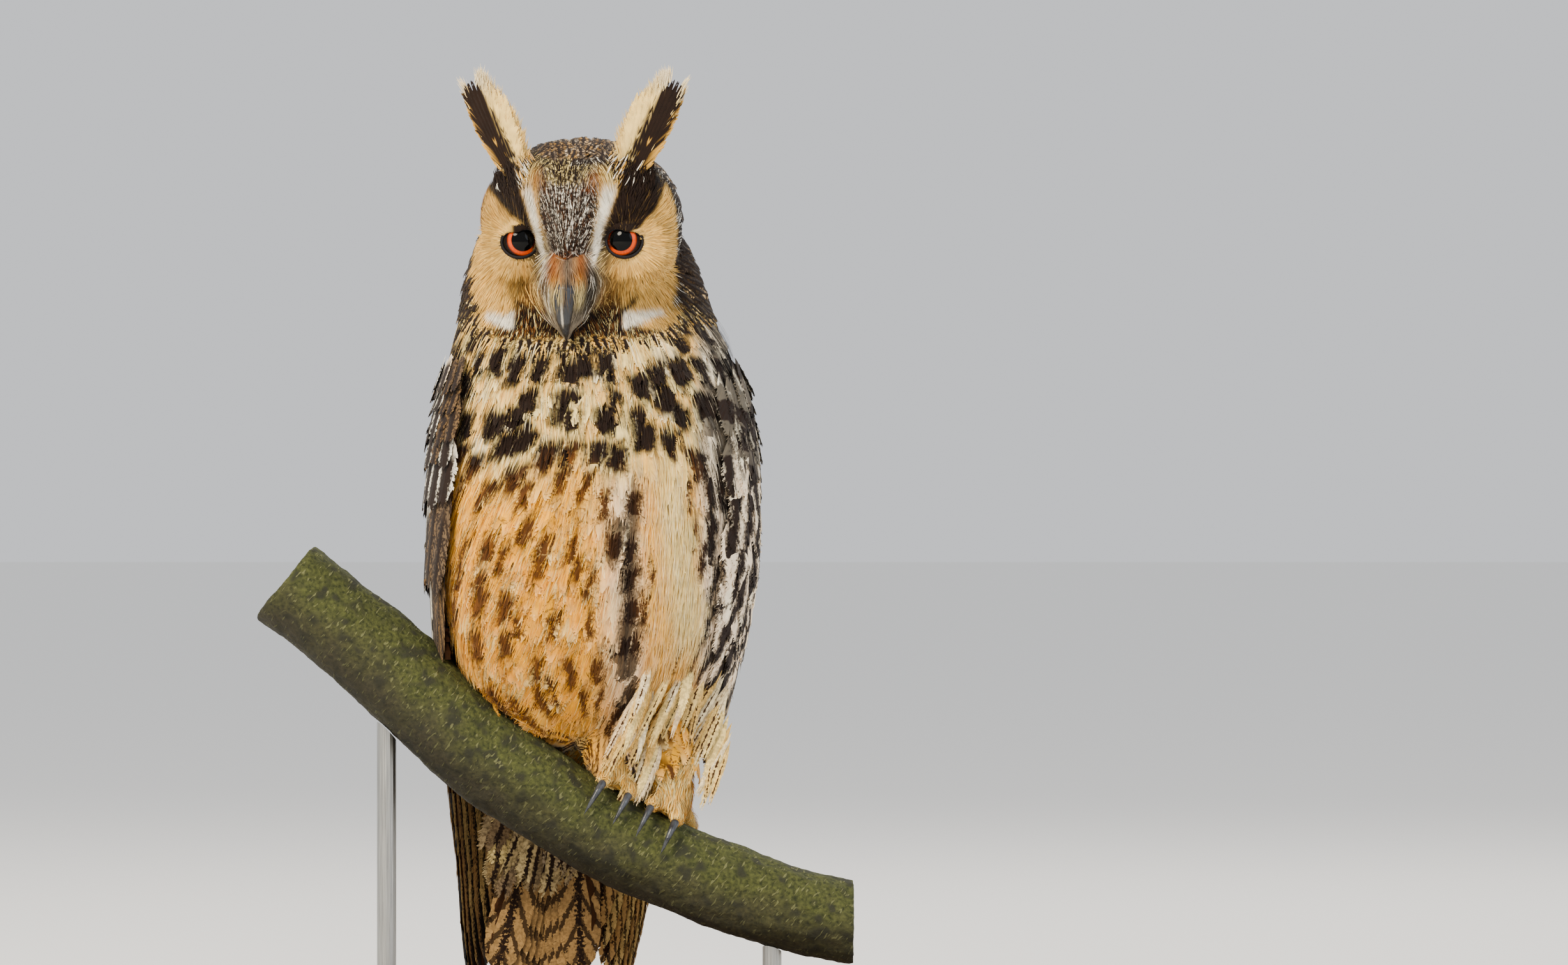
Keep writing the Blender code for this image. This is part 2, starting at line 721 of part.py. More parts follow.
def build_tail(tail, cutters):
    """Twelve feathers: the middle ones lie behind, and each next pair a step further out and in front."""
    def place(u, v, lift):
        across = TAIL_MIDDLE - TAIL_LEAN * (TAIL_FROM - u) + v
        return Matrix.Rotation(BODY_YAW, 3, "Z") @ Vector((across, TAIL_BACK + lift, u))

    vanes = collection("tail_vanes")
    top = VENT_SEAM[0].z - 5 * MM
    for pair in range(TAIL_PAIRS):
        for side in (-1, 1):
            share = pair / (TAIL_PAIRS - 1)
            layer = pair + (1 if pair or side < 0 else 0)
            lift = 1.5 * MM - TAIL_STEP * layer
            root = (top, side * (1.5 + 6 * share) * MM, -11 * MM + 0.45 * lift)
            tip = (TAIL_TIP + 8 * MM * share**2, side * (4.5 + 15 * share) * MM, lift)
            vane("vane", place, root, tip, 9 * MM, 0.9 * MM, "wing_plumage", vanes)
    fuse(tail, vanes)
    cut(tail, *cutters)


# Branch

def branch_frame(x):
    """Middle, direction, way up and radius of the branch at x."""
    height, radius = along(BRANCH, x)
    ahead, _ = along(BRANCH, x + MM)
    direction = Vector((MM, 0, ahead - height)).normalized()
    return Vector((x, 0, height)), direction, Vector((-direction.z, 0, direction.x)), radius


BRANCH_SIDES, BRANCH_SECTIONS = 18, 26


def build_branch():
    rings = []
    for x in np.linspace(BRANCH[0, 0], BRANCH[-1, 0], BRANCH_SECTIONS):
        middle, _, up, radius = branch_frame(x)
        ring = []
        for k in range(BRANCH_SIDES):
            a = k * math.tau / BRANCH_SIDES
            waves = ((0.35, 3, 55), (0.45, 2, 130), (0.3, 5, -90))
            reach = radius + MM * sum(high * math.sin(turns * a + per_metre * x) for high, turns, per_metre in waves)
            ring.append(middle + up * math.cos(a) * reach + Vector((0, 1, 0)) * math.sin(a) * reach)
        rings.append(ring)
    return loft("perch_branch", rings, "bark", OWL)


# Legs and feet

TOES = (
    # name, shift along the branch, first and last angle over it, radius, angle that the claw spans
    ("inner", -7.5, 4, 36, 3.9, 46),
    ("middle", 5, 4, 40, 4.1, 48),
    ("outer", 12.5, -8, -50, 3.7, 40),
    ("hind", -4.5, -10, -58, 3.7, 40),
)
PAD_RADIUS, PAD_LIFT = 8.5 * MM, 5 * MM
LEG_RADII = [9 * MM, 10 * MM, 12 * MM, 13 * MM, 13 * MM]
LEG_STEPS = (0.0, 0.2, 0.5, 0.8, 1.0)
LEG_TOP = (5 * MM, 8 * MM, 170 * MM)


def over_branch(x, angle, clearance):
    """A point at an angle over the branch, 0 on top and positive in front, clear of its surface."""
    middle, _, up, radius = branch_frame(x)
    reach = radius + clearance
    return middle + up * math.cos(angle) * reach - Vector((0, 1, 0)) * math.sin(angle) * reach


def build_foot(name, x, side, shell):
    _, direction, _, _ = branch_frame(x)
    foot = ball(f"foot_{name}", over_branch(x, 0, PAD_LIFT), PAD_RADIUS, 14, 10, "plumage", OWL)
    toes = collection("toes")
    talons = []
    for toe, shift, first, last, thick, reach in TOES:
        centres, radii = [], []
        for i in range(5):
            t = i / 4
            angle = math.radians(first + (last - first) * t)
            along_x = x + side * shift * MM * direction.x * min(1.0, 0.35 + 0.9 * t)
            knuckle = 0.9 * MM * math.sin(math.pi * (0.2 + 0.8 * t))
            centres.append(over_branch(along_x, angle, (thick + 0.4) * MM + knuckle))
            radii.append((thick + 0.5 - 1.2 * t) * MM)
        tube("toe", centres, radii, 8, "plumage", toes)
        sign = 1 if last > 0 else -1
        claw, sizes = [], []
        for i in range(6):
            t = i / 5
            angle = math.radians(last - sign * 6 + sign * reach * t)
            clearance = (thick + 0.8 - (thick - 1.1) * t**1.5 + 1.0 * math.sin(math.pi * t)) * MM
            claw.append(over_branch(x + side * shift * MM * direction.x, angle, clearance))
            sizes.append((1.9 * (1 - t) ** 0.8 + 0.25) * MM)
        talons.append(tube(f"talon_{name}_{toe}", claw, sizes, 7, "bill", OWL))
    fuse(foot, toes)
    cut(foot, shell)
    skin = inflated(foot, GAP)
    for talon in talons:
        cut(talon, skin, shell)
    return foot, skin


def build_leg(name, x, side, foot_skin, cutters):
    low = over_branch(x, 0, PAD_LIFT + MM)
    top = Vector((x + side * LEG_TOP[0], LEG_TOP[1], LEG_TOP[2]))
    leg = tube(f"leg_{name}", [low.lerp(top, t) for t in LEG_STEPS], LEG_RADII, 16, "plumage", OWL)
    cut(leg, *cutters, foot_skin)
    return leg


# Stand

def build_stand(branch):
    shape = bmesh.new()
    bmesh.ops.create_cube(shape, size=1)
    for v in shape.verts:
        v.co = Vector((v.co.x * BASE_SIZE.x, v.co.y * BASE_SIZE.y, (v.co.z + 0.5) * BASE_SIZE.z))
    upright = [e for e in shape.edges if abs(e.verts[0].co.z - e.verts[1].co.z) > MM]
    bmesh.ops.bevel(shape, geom=upright, offset=18 * MM, segments=4, profile=0.5, affect="EDGES")
    rim = [e for e in shape.edges if all(v.co.z > BASE_SIZE.z - 0.01 * MM for v in e.verts)]
    bmesh.ops.bevel(shape, geom=rim, offset=2 * MM, segments=2, profile=0.5, affect="EDGES")
    mesh = bpy.data.meshes.new("stand_base")
    shape.to_mesh(mesh)
    shape.free()
    mesh.materials.append(material("base"))
    base = bpy.data.objects.new("stand_base", mesh)
    OWL.objects.link(base)
    outward(base)
    shell = inflated(branch, GAP)
    for name, x in ROD_X.items():
        middle = branch_frame(x)[0]
        centres = [Vector((x, 0, BASE_SIZE.z + GAP)), Vector((x, 0, middle.z / 2)), middle]
        rod = tube(name, centres, [ROD_RADIUS] * 3, 16, "rod", OWL)
        cut(rod, shell)


def main():
    clear_scene()
    for kept in (OWL, CUTTERS):
        bpy.context.scene.collection.children.link(kept)

    branch = build_branch()
    branch_shell = inflated(branch, GAP)
    head = head_body()
    lids = collection("lids")
    for side in SIDES.values():
        lid_ring(side, lids)
    fuse(head, lids)
    trunk = build_trunk()
    whole, head, neck, torso, tail = part_body(head, trunk)
    build_eyes(head)
    head_shell = inflated(head, GAP)
    build_bill(head)
    for name, side in SIDES.items():
        build_tuft(name, side, head_shell)

    feet = {name: build_foot(name, x, SIDES[name], branch_shell) for name, x in FEET.items()}
    cut(torso, branch_shell, *(skin for _, skin in feet.values()))
    torso_shell = inflated(whole, GAP)
    build_tail(tail, [branch_shell, inflated(torso, GAP)])
    tail_shell = inflated(tail, GAP)
    for name, side in SIDES.items():
        build_wing(name, side, [torso_shell, tail_shell, branch_shell])
    for name, x in FEET.items():
        build_leg(name, x, SIDES[name], feet[name][1], [inflated(torso, GAP), branch_shell])
    whole.hide_render = True
    build_stand(branch)


main()
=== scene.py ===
import math

import bpy
import numpy as np
from mathutils import Matrix, Vector
from mathutils.bvhtree import BVHTree


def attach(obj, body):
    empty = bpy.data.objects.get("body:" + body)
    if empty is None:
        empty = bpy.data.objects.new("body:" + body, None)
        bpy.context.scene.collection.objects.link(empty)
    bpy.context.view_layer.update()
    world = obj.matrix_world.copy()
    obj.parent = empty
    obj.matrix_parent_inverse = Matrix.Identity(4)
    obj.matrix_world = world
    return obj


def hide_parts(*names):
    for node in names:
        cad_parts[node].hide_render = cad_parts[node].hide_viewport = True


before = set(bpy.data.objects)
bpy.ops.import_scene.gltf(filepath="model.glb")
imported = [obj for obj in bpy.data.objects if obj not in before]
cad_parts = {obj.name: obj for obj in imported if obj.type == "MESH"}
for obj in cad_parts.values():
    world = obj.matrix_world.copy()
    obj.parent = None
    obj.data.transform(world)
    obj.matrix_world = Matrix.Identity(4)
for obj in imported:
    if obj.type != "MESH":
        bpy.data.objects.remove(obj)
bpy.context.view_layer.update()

mm = 0.001
rng = np.random.default_rng(11)


# Small helpers for colours, numbers and meshes

def linear(hexCode):  # an sRGB hex colour as linear red, green, blue and full alpha
    parts = [int(hexCode[i:i + 2], 16) / 255 for i in (1, 3, 5)]
    return np.array([c / 12.92 if c <= 0.04045 else ((c + 0.055) / 1.055) ** 2.4 for c in parts] + [1.0])


def unit(vectors):
    return vectors / np.maximum(np.linalg.norm(vectors, axis=-1, keepdims=True), 1e-12)


def fade(low, high, value):  # 0 at low, 1 at high, smooth between
    t = np.clip((value - low) / (high - low), 0, 1)
    return t * t * (3 - 2 * t)


def blend(first, second, share):
    return first + (second - first) * np.asarray(share)[..., None]


def hill(value, middle, width):
    return np.exp(-(((value - middle) / width) ** 2))


def deselect():
    bpy.ops.object.select_all(action="DESELECT")


def activate(obj):
    deselect()
    obj.select_set(True)
    bpy.context.view_layer.objects.active = obj


def useModifier(obj, kind, **settings):
    activate(obj)
    modifier = obj.modifiers.new(kind.lower(), kind)
    for key, value in settings.items():
        setattr(modifier, key, value)
    bpy.ops.object.modifier_apply(modifier=modifier.name)


def copyOfNodes(name, nodes):  # one mesh from copies of CAD nodes, with its doubles merged
    copies = []
    for node in nodes:
        copy = bpy.data.objects.new(name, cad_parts[node].data.copy())
        bpy.context.scene.collection.objects.link(copy)
        copies.append(copy)
    deselect()
    for copy in copies:
        copy.select_set(True)
    bpy.context.view_layer.objects.active = copies[0]
    if len(copies) > 1:
        bpy.ops.object.join()
    obj = bpy.context.view_layer.objects.active
    obj.data.name = name
    bpy.ops.object.mode_set(mode="EDIT")
    bpy.ops.mesh.select_all(action="SELECT")
    bpy.ops.mesh.remove_doubles(threshold=0.01 * mm)
    bpy.ops.object.mode_set(mode="OBJECT")
    return obj


def pointsOf(obj):
    points = np.empty(len(obj.data.vertices) * 3)
    obj.data.vertices.foreach_get("co", points)
    return points.reshape(-1, 3)


def normalsOf(obj):
    normals = np.empty(len(obj.data.vertices) * 3)
    obj.data.vertex_normals.foreach_get("vector", normals)
    return normals.reshape(-1, 3)


def movePoints(obj, points):
    obj.data.vertices.foreach_set("co", points.ravel())
    obj.data.update()


def finishPiece(obj, material, replaced=()):
    obj.data.materials.clear()
    obj.data.materials.append(material)
    obj.data.shade_smooth()
    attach(obj, "root")
    if replaced:
        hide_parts(*replaced)
    return obj


# Materials

def addNode(tree, kind, inputs=(), output=0, **settings):  # inputs: values or sockets, in order or by name
    node = tree.nodes.new("ShaderNode" + kind)
    for key, value in settings.items():
        setattr(node, key, value)
    for key, value in (inputs.items() if isinstance(inputs, dict) else enumerate(inputs)):
        if isinstance(value, bpy.types.NodeSocket):
            tree.links.new(value, node.inputs[key])
        else:
            node.inputs[key].default_value = value
    return node.outputs[output]


def newMaterial(name, roughness, specular=0.5, metallic=0.0):
    material = bpy.data.materials.new(name)
    material.use_nodes = True
    shader = material.node_tree.nodes["Principled BSDF"]
    shader.inputs["Roughness"].default_value = roughness
    shader.inputs["Specular IOR Level"].default_value = specular
    shader.inputs["Metallic"].default_value = metallic
    return material, material.node_tree, shader


plumage = {
    "mottle": 1.2 * mm,
    "blur": 4.0 * mm,
    "warp": 8.0 * mm,
    "warpBy": (0.55, 0.4, 0),  # how far the noise shifts a mark, in cells
    "barbLines": 150.0,  # waves along a vane, about twice as coarse as real barbs, so that they show
    "slant": 0.22,
}


def addMarks(tree, byPlace):  # how far the ink covers the tint: shaft streaks, crossbars and mottling
    where = addNode(tree, "TexCoord", output="Object")
    barCount = addNode(tree, "Attribute", output="Alpha", attribute_name="ink")
    mark = addNode(tree, "Attribute", output="Vector", attribute_name="mark")
    marks = addNode(tree, "SeparateXYZ", (mark,)).node.outputs
    fine = addNode(tree, "TexNoise", {"Vector": where, "Scale": 1 / plumage["mottle"], "Detail": 2.0})
    rough = addNode(tree, "Math", (fine, 0.9, -0.45), operation="MULTIPLY_ADD")
    if byPlace:  # one mark in each cell of a loose lattice over breast, belly and flanks
        cell = addNode(tree, "UVMap", uv_map="spot")
        warp = addNode(tree, "TexNoise", {"Vector": where, "Scale": 1 / plumage["warp"], "Detail": 2.0}, "Color")
        warp = addNode(tree, "VectorMath", (warp, (0.5, 0.5, 0.5)), operation="SUBTRACT")
        warp = addNode(tree, "VectorMath", (warp, plumage["warpBy"]), operation="MULTIPLY")
        cell = addNode(tree, "VectorMath", (cell, warp), operation="ADD")
        centre = addNode(tree, "TexVoronoi", {"Vector": cell, "Scale": 1.0, "Randomness": 0.85}, "Position",
                         voronoi_dimensions="2D")
        chance = addNode(tree, "SeparateXYZ", (centre.node.outputs["Color"],))
        breadth = addNode(tree, "MapRange", (chance, 0.0, 1.0, 0.6, 1.4))
        offset = addNode(tree, "VectorMath", (cell, centre), operation="SUBTRACT")
        parts = addNode(tree, "SeparateXYZ", (offset,)).node.outputs
        across = addNode(tree, "Math", (addNode(tree, "Math", (parts[0],), operation="ABSOLUTE"), 2.0),
                         operation="MULTIPLY")
        down = addNode(tree, "Math", (parts[1], -1.0, 0.5), operation="MULTIPLY_ADD")
        ends = addNode(tree, "MapRange", (down, 1.12, 0.86, 0.0, 1.0), interpolation_type="SMOOTHSTEP")
        joined = marks[2]
        wide = addNode(tree, "Math", (marks[0], breadth), operation="MULTIPLY")
    else:
        vane = addNode(tree, "SeparateXYZ", (addNode(tree, "UVMap", uv_map="vane"),)).node.outputs
        centred = addNode(tree, "Math", (vane[0], 2.0, -1.0), operation="MULTIPLY_ADD")
        across = addNode(tree, "Math", (centred,), operation="ABSOLUTE")
        down = vane[1]
        ends = addNode(tree, "Value")
        ends.default_value = 1.0
        joined = addNode(tree, "Value")
        joined.default_value = 0.0
        wide = marks[0]
    edge = addNode(tree, "Math", (across, rough), operation="ADD")
    inner = addNode(tree, "Math", (wide, 0.5 if byPlace else 0.7), operation="MULTIPLY")
    outer = addNode(tree, "Math", (wide, 1.5 if byPlace else 1.3, 0.05), operation="MULTIPLY_ADD")
    streak = addNode(tree, "MapRange", (edge, inner, outer, 1.0, 0.0), interpolation_type="SMOOTHSTEP")
    rooted = addNode(tree, "MapRange", (down, 0.05, 0.35, 0.0, 1.0), interpolation_type="SMOOTHSTEP")
    present = addNode(tree, "MapRange", (marks[0], 0.0, 0.05, 0.0, 1.0))
    limits = addNode(tree, "Math", (rooted, ends), operation="MULTIPLY")
    limits = addNode(tree, "Math", (limits, joined), operation="MAXIMUM")
    for limit in (limits, present):
        streak = addNode(tree, "Math", (streak, limit), operation="MULTIPLY")
    slanted = addNode(tree, "Math", (across, -plumage["slant"], down), operation="MULTIPLY_ADD")
    slanted = addNode(tree, "Math", (rough, 0.1, slanted), operation="MULTIPLY_ADD")
    turns = addNode(tree, "Math", (barCount, 16 * math.tau), operation="MULTIPLY")
    wave = addNode(tree, "Math", (addNode(tree, "Math", (slanted, turns), operation="MULTIPLY"),), operation="SINE")
    thin = addNode(tree, "Math", (marks[1], -0.85, 0.95), operation="MULTIPLY_ADD")
    thick = addNode(tree, "Math", (thin, 0.35), operation="ADD")
    bars = addNode(tree, "MapRange", (wave, thin, thick, 0.0, 1.0), interpolation_type="SMOOTHSTEP")
    strength = addNode(tree, "MapRange", (marks[1], 0.0, 0.35, 0.0, 0.9))
    bars = addNode(tree, "Math", (bars, strength), operation="MULTIPLY")
    if byPlace:  # the bars keep near their streak
        within = addNode(tree, "MapRange", (edge, 0.85, 0.55, 0.0, 1.0), interpolation_type="SMOOTHSTEP")
        bars = addNode(tree, "Math", (bars, within), operation="MULTIPLY")
    cover = addNode(tree, "Math", (streak, bars), operation="MAXIMUM", use_clamp=True)
    if byPlace:
        return cover
    mottle = addNode(tree, "MapRange", (fine, 0.58, 0.42, 0.0, 1.0), interpolation_type="SMOOTHSTEP")
    mottle = addNode(tree, "Math", (mottle, marks[2]), operation="MULTIPLY")
    return addNode(tree, "Math", (cover, mottle), operation="MAXIMUM", use_clamp=True)


def plumageMaterial(name, byPlace):  # keratin vanes: matt, with fine barb lines under their marks
    material, tree, shader = newMaterial(name, 0.75, 0.12)
    where = addNode(tree, "TexCoord", output="Object")
    tint = addNode(tree, "Attribute", output="Color", attribute_name="tint")
    ink = addNode(tree, "Attribute", output="Color", attribute_name="ink")
    vane = addNode(tree, "SeparateXYZ", (addNode(tree, "UVMap", uv_map="vane"),)).node.outputs
    centred = addNode(tree, "Math", (vane[0], 2.0, -1.0), operation="MULTIPLY_ADD")
    across = addNode(tree, "Math", (centred,), operation="ABSOLUTE")
    pale = addNode(tree, "MapRange", (vane[1], 0.74, 0.98, 0.0, 0.22 if byPlace else 0.0))  # paler tips
    ground = addNode(tree, "Mix", {0: pale, 6: tint, 7: linear("#fbf0d2")}, 2, data_type="RGBA")
    colour = addNode(tree, "Mix", {0: addMarks(tree, byPlace), 6: ground, 7: ink}, 2, data_type="RGBA")
    line = addNode(tree, "Math", (across, -0.7, vane[1]), operation="MULTIPLY_ADD")
    line = addNode(tree, "Math", (line, plumage["barbLines"]), operation="MULTIPLY")
    barbs = addNode(tree, "Math", (line,), operation="SINE")
    shade = addNode(tree, "Math", (barbs, 0.05, 1.0), operation="MULTIPLY_ADD")
    broad = addNode(tree, "TexNoise", {"Vector": where, "Scale": 1 / plumage["blur"], "Detail": 1.0})
    cloud = addNode(tree, "MapRange", (broad, 0.3, 0.7, 0.86, 1.12))
    shade = addNode(tree, "Math", (shade, cloud), operation="MULTIPLY")
    grey = addNode(tree, "CombineColor", (shade, shade, shade))
    colour = addNode(tree, "Mix", {0: 1.0, 6: colour, 7: grey}, 2, data_type="RGBA", blend_type="MULTIPLY")
    tree.links.new(colour, shader.inputs["Base Color"])
    shader.inputs["Sheen Weight"].default_value = 0.06
    shader.inputs["Sheen Roughness"].default_value = 0.5
    raised = addNode(tree, "Bump", {"Height": barbs, "Distance": 0.05 * mm, "Strength": 0.5})
    tree.links.new(raised, shader.inputs["Normal"])
    return material


def downMaterial(name="downShade", byPlace=False):  # the down under the vanes, with their marks, darkened by painted shade between them
    material, tree, shader = newMaterial(name, 0.9, 0.1)
    where = addNode(tree, "TexCoord", output="Object")
    tint = addNode(tree, "Attribute", output="Color", attribute_name="tint")
    if byPlace:
        ink = addNode(tree, "Attribute", output="Color", attribute_name="ink")
        tint = addNode(tree, "Mix", {0: addMarks(tree, byPlace), 6: tint, 7: ink}, 2, data_type="RGBA")
    curls = addNode(tree, "TexNoise", {"Vector": where, "Scale": 1 / (1.5 * mm), "Detail": 4.0})
    share = addNode(tree, "MapRange", (curls, 0.3, 0.7, 0.25, 0.6))
    # near-black painted shade mixed into the down by the curls noise
    colour = addNode(tree, "Mix", {0: share, 6: tint, 7: linear("#1c1510")}, 2, data_type="RGBA")
    tree.links.new(colour, shader.inputs["Base Color"])
    raised = addNode(tree, "Bump", {"Height": curls, "Distance": 0.4 * mm})
    tree.links.new(raised, shader.inputs["Normal"])
    return material


def clawMaterial():  # claws of dark keratin, polished by wear, with lengthwise growth lines and paler patches
    material, tree, shader = newMaterial("slateClaw", 0.32)
    where = addNode(tree, "TexCoord", output="Object")
    stretched = addNode(tree, "Mapping", {"Vector": where, "Scale": (1, 1, 0.2)})
    lines = addNode(tree, "TexNoise", {"Vector": stretched, "Scale": 1 / (0.5 * mm), "Detail": 4.0})
    patches = addNode(tree, "TexNoise", {"Vector": where, "Scale": 1 / (4 * mm), "Detail": 2.0})
    share = addNode(tree, "MapRange", (patches, 0.35, 0.7, 0.0, 1.0))
    colour = addNode(tree, "Mix", {0: share, 6: linear("#1a1c20"), 7: linear("#474b52")}, 2, data_type="RGBA")
    share = addNode(tree, "MapRange", (lines, 0.4, 0.75, 0.0, 0.6))
    colour = addNode(tree, "Mix", {0: share, 6: colour, 7: linear("#0f0f11")}, 2, data_type="RGBA")
    tree.links.new(colour, shader.inputs["Base Color"])
    tree.links.new(addNode(tree, "MapRange", (lines, 0.3, 0.7, 0.25, 0.45)), shader.inputs["Roughness"])
    raised = addNode(tree, "Bump", {"Height": lines, "Distance": 0.06 * mm})
    tree.links.new(raised, shader.inputs["Normal"])
    return material


def billMaterial():  # bill of slate keratin with a painted highlight along its ridge
    material, tree, shader = newMaterial("billKeratin", 0.36)
    where = addNode(tree, "TexCoord", output="Object")
    ridge = addNode(tree, "Attribute", output="Fac", attribute_name="ridge")
    stretched = addNode(tree, "Mapping", {"Vector": where, "Scale": (1, 1, 0.25)})
    lines = addNode(tree, "TexNoise", {"Vector": stretched, "Scale": 1 / (0.6 * mm), "Detail": 4.0})
    share = addNode(tree, "MapRange", (lines, 0.3, 0.7, 0.0, 1.0))
    colour = addNode(tree, "Mix", {0: share, 6: linear("#101114"), 7: linear("#26282c")}, 2, data_type="RGBA")
    # painted highlight along the ridge, broken up by the growth lines
    ridgeHighlight = addNode(tree, "Math", (lines, 0.5, -0.25), operation="MULTIPLY_ADD")
    ridgeHighlight = addNode(tree, "Math", (ridgeHighlight, ridge), operation="ADD")
    share = addNode(tree, "MapRange", (ridgeHighlight, 0.35, 0.95, 0.0, 1.0))
    colour = addNode(tree, "Mix", {0: share, 6: colour, 7: linear("#a89f90")}, 2, data_type="RGBA")
    tree.links.new(colour, shader.inputs["Base Color"])
    tree.links.new(addNode(tree, "MapRange", (lines, 0.3, 0.7, 0.28, 0.5)), shader.inputs["Roughness"])
    raised = addNode(tree, "Bump", {"Height": lines, "Distance": 0.06 * mm})
    tree.links.new(raised, shader.inputs["Normal"])
    return material


eyeSizes = {"pupil": 0.262, "iris": 0.365, "rim": 0.385, "squint": 1.4}  # radii on the eye's own map, where 0.5 is its edge


def eyeMaterial():  # a wet cornea over an orange iris with fine spokes and a black pupil
    material, tree, shader = newMaterial("wetCornea", 0.06, 0.12)
    where = addNode(tree, "UVMap", uv_map="look")
    centred = addNode(tree, "VectorMath", (where, (0.5, 0.5, 0)), operation="SUBTRACT")
    radius = addNode(tree, "VectorMath", (centred,), "Value", operation="LENGTH")
    parts = addNode(tree, "SeparateXYZ", (centred,)).node.outputs
    angle = addNode(tree, "Math", (parts[1], parts[0]), operation="ARCTAN2")
    round7 = addNode(tree, "Math", (angle, 7.0), operation="MULTIPLY")
    wrapped = addNode(tree, "CombineXYZ", (round7, radius))
    spokes = addNode(tree, "TexNoise", {"Vector": wrapped, "Scale": 2.2, "Detail": 4.0})
    low = addNode(tree, "Math", (parts[0], 0.9, parts[1]), operation="MULTIPLY_ADD")  # painted shadow of the brow and upper lid above and inwards, brighter below
    low = addNode(tree, "MapRange", (low, 0.09, -0.13, 0.0, 1.0), interpolation_type="SMOOTHSTEP")
    iris = addNode(tree, "Mix", {0: low, 6: linear("#1c0803"), 7: linear("#d24600")}, 2, data_type="RGBA")
    share = addNode(tree, "MapRange", (spokes, 0.4, 0.75, 0.0, 0.4))
    iris = addNode(tree, "Mix", {0: share, 6: iris, 7: linear("#8a2804")}, 2, data_type="RGBA")
    share = addNode(tree, "MapRange", (radius, eyeSizes["iris"] - 0.045, eyeSizes["iris"], 0.0, 1.0))
    iris = addNode(tree, "Mix", {0: share, 6: iris, 7: linear("#3a1005")}, 2, data_type="RGBA")
    share = addNode(tree, "MapRange", (radius, eyeSizes["pupil"] - 0.008, eyeSizes["pupil"] + 0.008, 0.0, 1.0))
    colour = addNode(tree, "Mix", {0: share, 6: linear("#040404"), 7: iris}, 2, data_type="RGBA")
    share = addNode(tree, "MapRange", (radius, eyeSizes["iris"] - 0.01, eyeSizes["rim"], 0.0, 1.0))
    colour = addNode(tree, "Mix", {0: share, 6: colour, 7: linear("#0e0b0d")}, 2, data_type="RGBA")
    tree.links.new(colour, shader.inputs["Base Color"])
    return material


def lidMaterial():  # bare lid skin: dark violet grey, finely wrinkled
    material, tree, shader = newMaterial("lidSkin", 0.6, 0.2)
    where = addNode(tree, "TexCoord", output="Object")
    folds = addNode(tree, "TexNoise", {"Vector": where, "Scale": 1 / (0.5 * mm), "Detail": 3.0})
    share = addNode(tree, "MapRange", (folds, 0.3, 0.7, 0.0, 1.0))
    colour = addNode(tree, "Mix", {0: share, 6: linear("#060506"), 7: linear("#1b171c")}, 2, data_type="RGBA")
    tree.links.new(colour, shader.inputs["Base Color"])
    raised = addNode(tree, "Bump", {"Height": folds, "Distance": 0.12 * mm})
    tree.links.new(raised, shader.inputs["Normal"])
    return material


def barkMaterial():  # smooth grey bark under green algae, crossed by pale lenticels, with painted shade darkening it below and at the back
    material, tree, shader = newMaterial("algaeBark", 0.85, 0.25)
    where = addNode(tree, "TexCoord", output="Object")
    wood = addNode(tree, "UVMap", uv_map="wood")
    high = addNode(tree, "Attribute", output="Fac", attribute_name="top")
    patches = addNode(tree, "TexNoise", {"Vector": where, "Scale": 1 / (16 * mm), "Detail": 4.0})
    fine = addNode(tree, "TexNoise", {"Vector": where, "Scale": 1 / (1.5 * mm), "Detail": 5.0})
    flakes = addNode(tree, "TexNoise", {"Vector": where, "Scale": 1 / (6 * mm), "Detail": 5.0})
    shift = addNode(tree, "Math", (patches, 2.0, -1.0), operation="MULTIPLY_ADD")
    algae = addNode(tree, "Math", (high, shift), operation="ADD")
    share = addNode(tree, "MapRange", (fine, 0.3, 0.7, 0.0, 1.0))
    bark = addNode(tree, "Mix", {0: share, 6: linear("#2b2a1f"), 7: linear("#47422f")}, 2, data_type="RGBA")
    green = addNode(tree, "Mix", {0: share, 6: linear("#20250f"), 7: linear("#4b4f26")}, 2, data_type="RGBA")
    share = addNode(tree, "MapRange", (algae, -1.0, 0.25, 0.0, 1.0))
    colour = addNode(tree, "Mix", {0: share, 6: bark, 7: green}, 2, data_type="RGBA")
    share = addNode(tree, "MapRange", (flakes, 0.52, 0.64, 0.0, 0.85))
    colour = addNode(tree, "Mix", {0: share, 6: colour, 7: linear("#22231a")}, 2, data_type="RGBA")
    cells = addNode(tree, "Mapping", {"Vector": wood, "Scale": (1 / (1.3 * mm), 1 / (4.5 * mm), 1)})
    dashes = addNode(tree, "TexNoise", {"Vector": cells, "Scale": 1.0, "Detail": 1.0})
    dash = addNode(tree, "MapRange", (dashes, 0.60, 0.70, 0.0, 1.0), interpolation_type="SMOOTHSTEP")
    share = addNode(tree, "Math", (dash, 0.6), operation="MULTIPLY")
    colour = addNode(tree, "Mix", {0: share, 6: colour, 7: linear("#6e6f48")}, 2, data_type="RGBA")
    # painted shade on the underside and back of the branch
    share = addNode(tree, "MapRange", (high, 0.1, -0.9, 0.0, 0.6))
    colour = addNode(tree, "Mix", {0: share, 6: colour, 7: linear("#191912")}, 2, data_type="RGBA")
    tree.links.new(colour, shader.inputs["Base Color"])
    height = addNode(tree, "Math", (fine, 0.5, flakes), operation="MULTIPLY_ADD")
    height = addNode(tree, "Math", (dash, 0.4, height), operation="MULTIPLY_ADD")
    raised = addNode(tree, "Bump", {"Height": height, "Distance": 0.6 * mm})
    tree.links.new(raised, shader.inputs["Normal"])
    return material


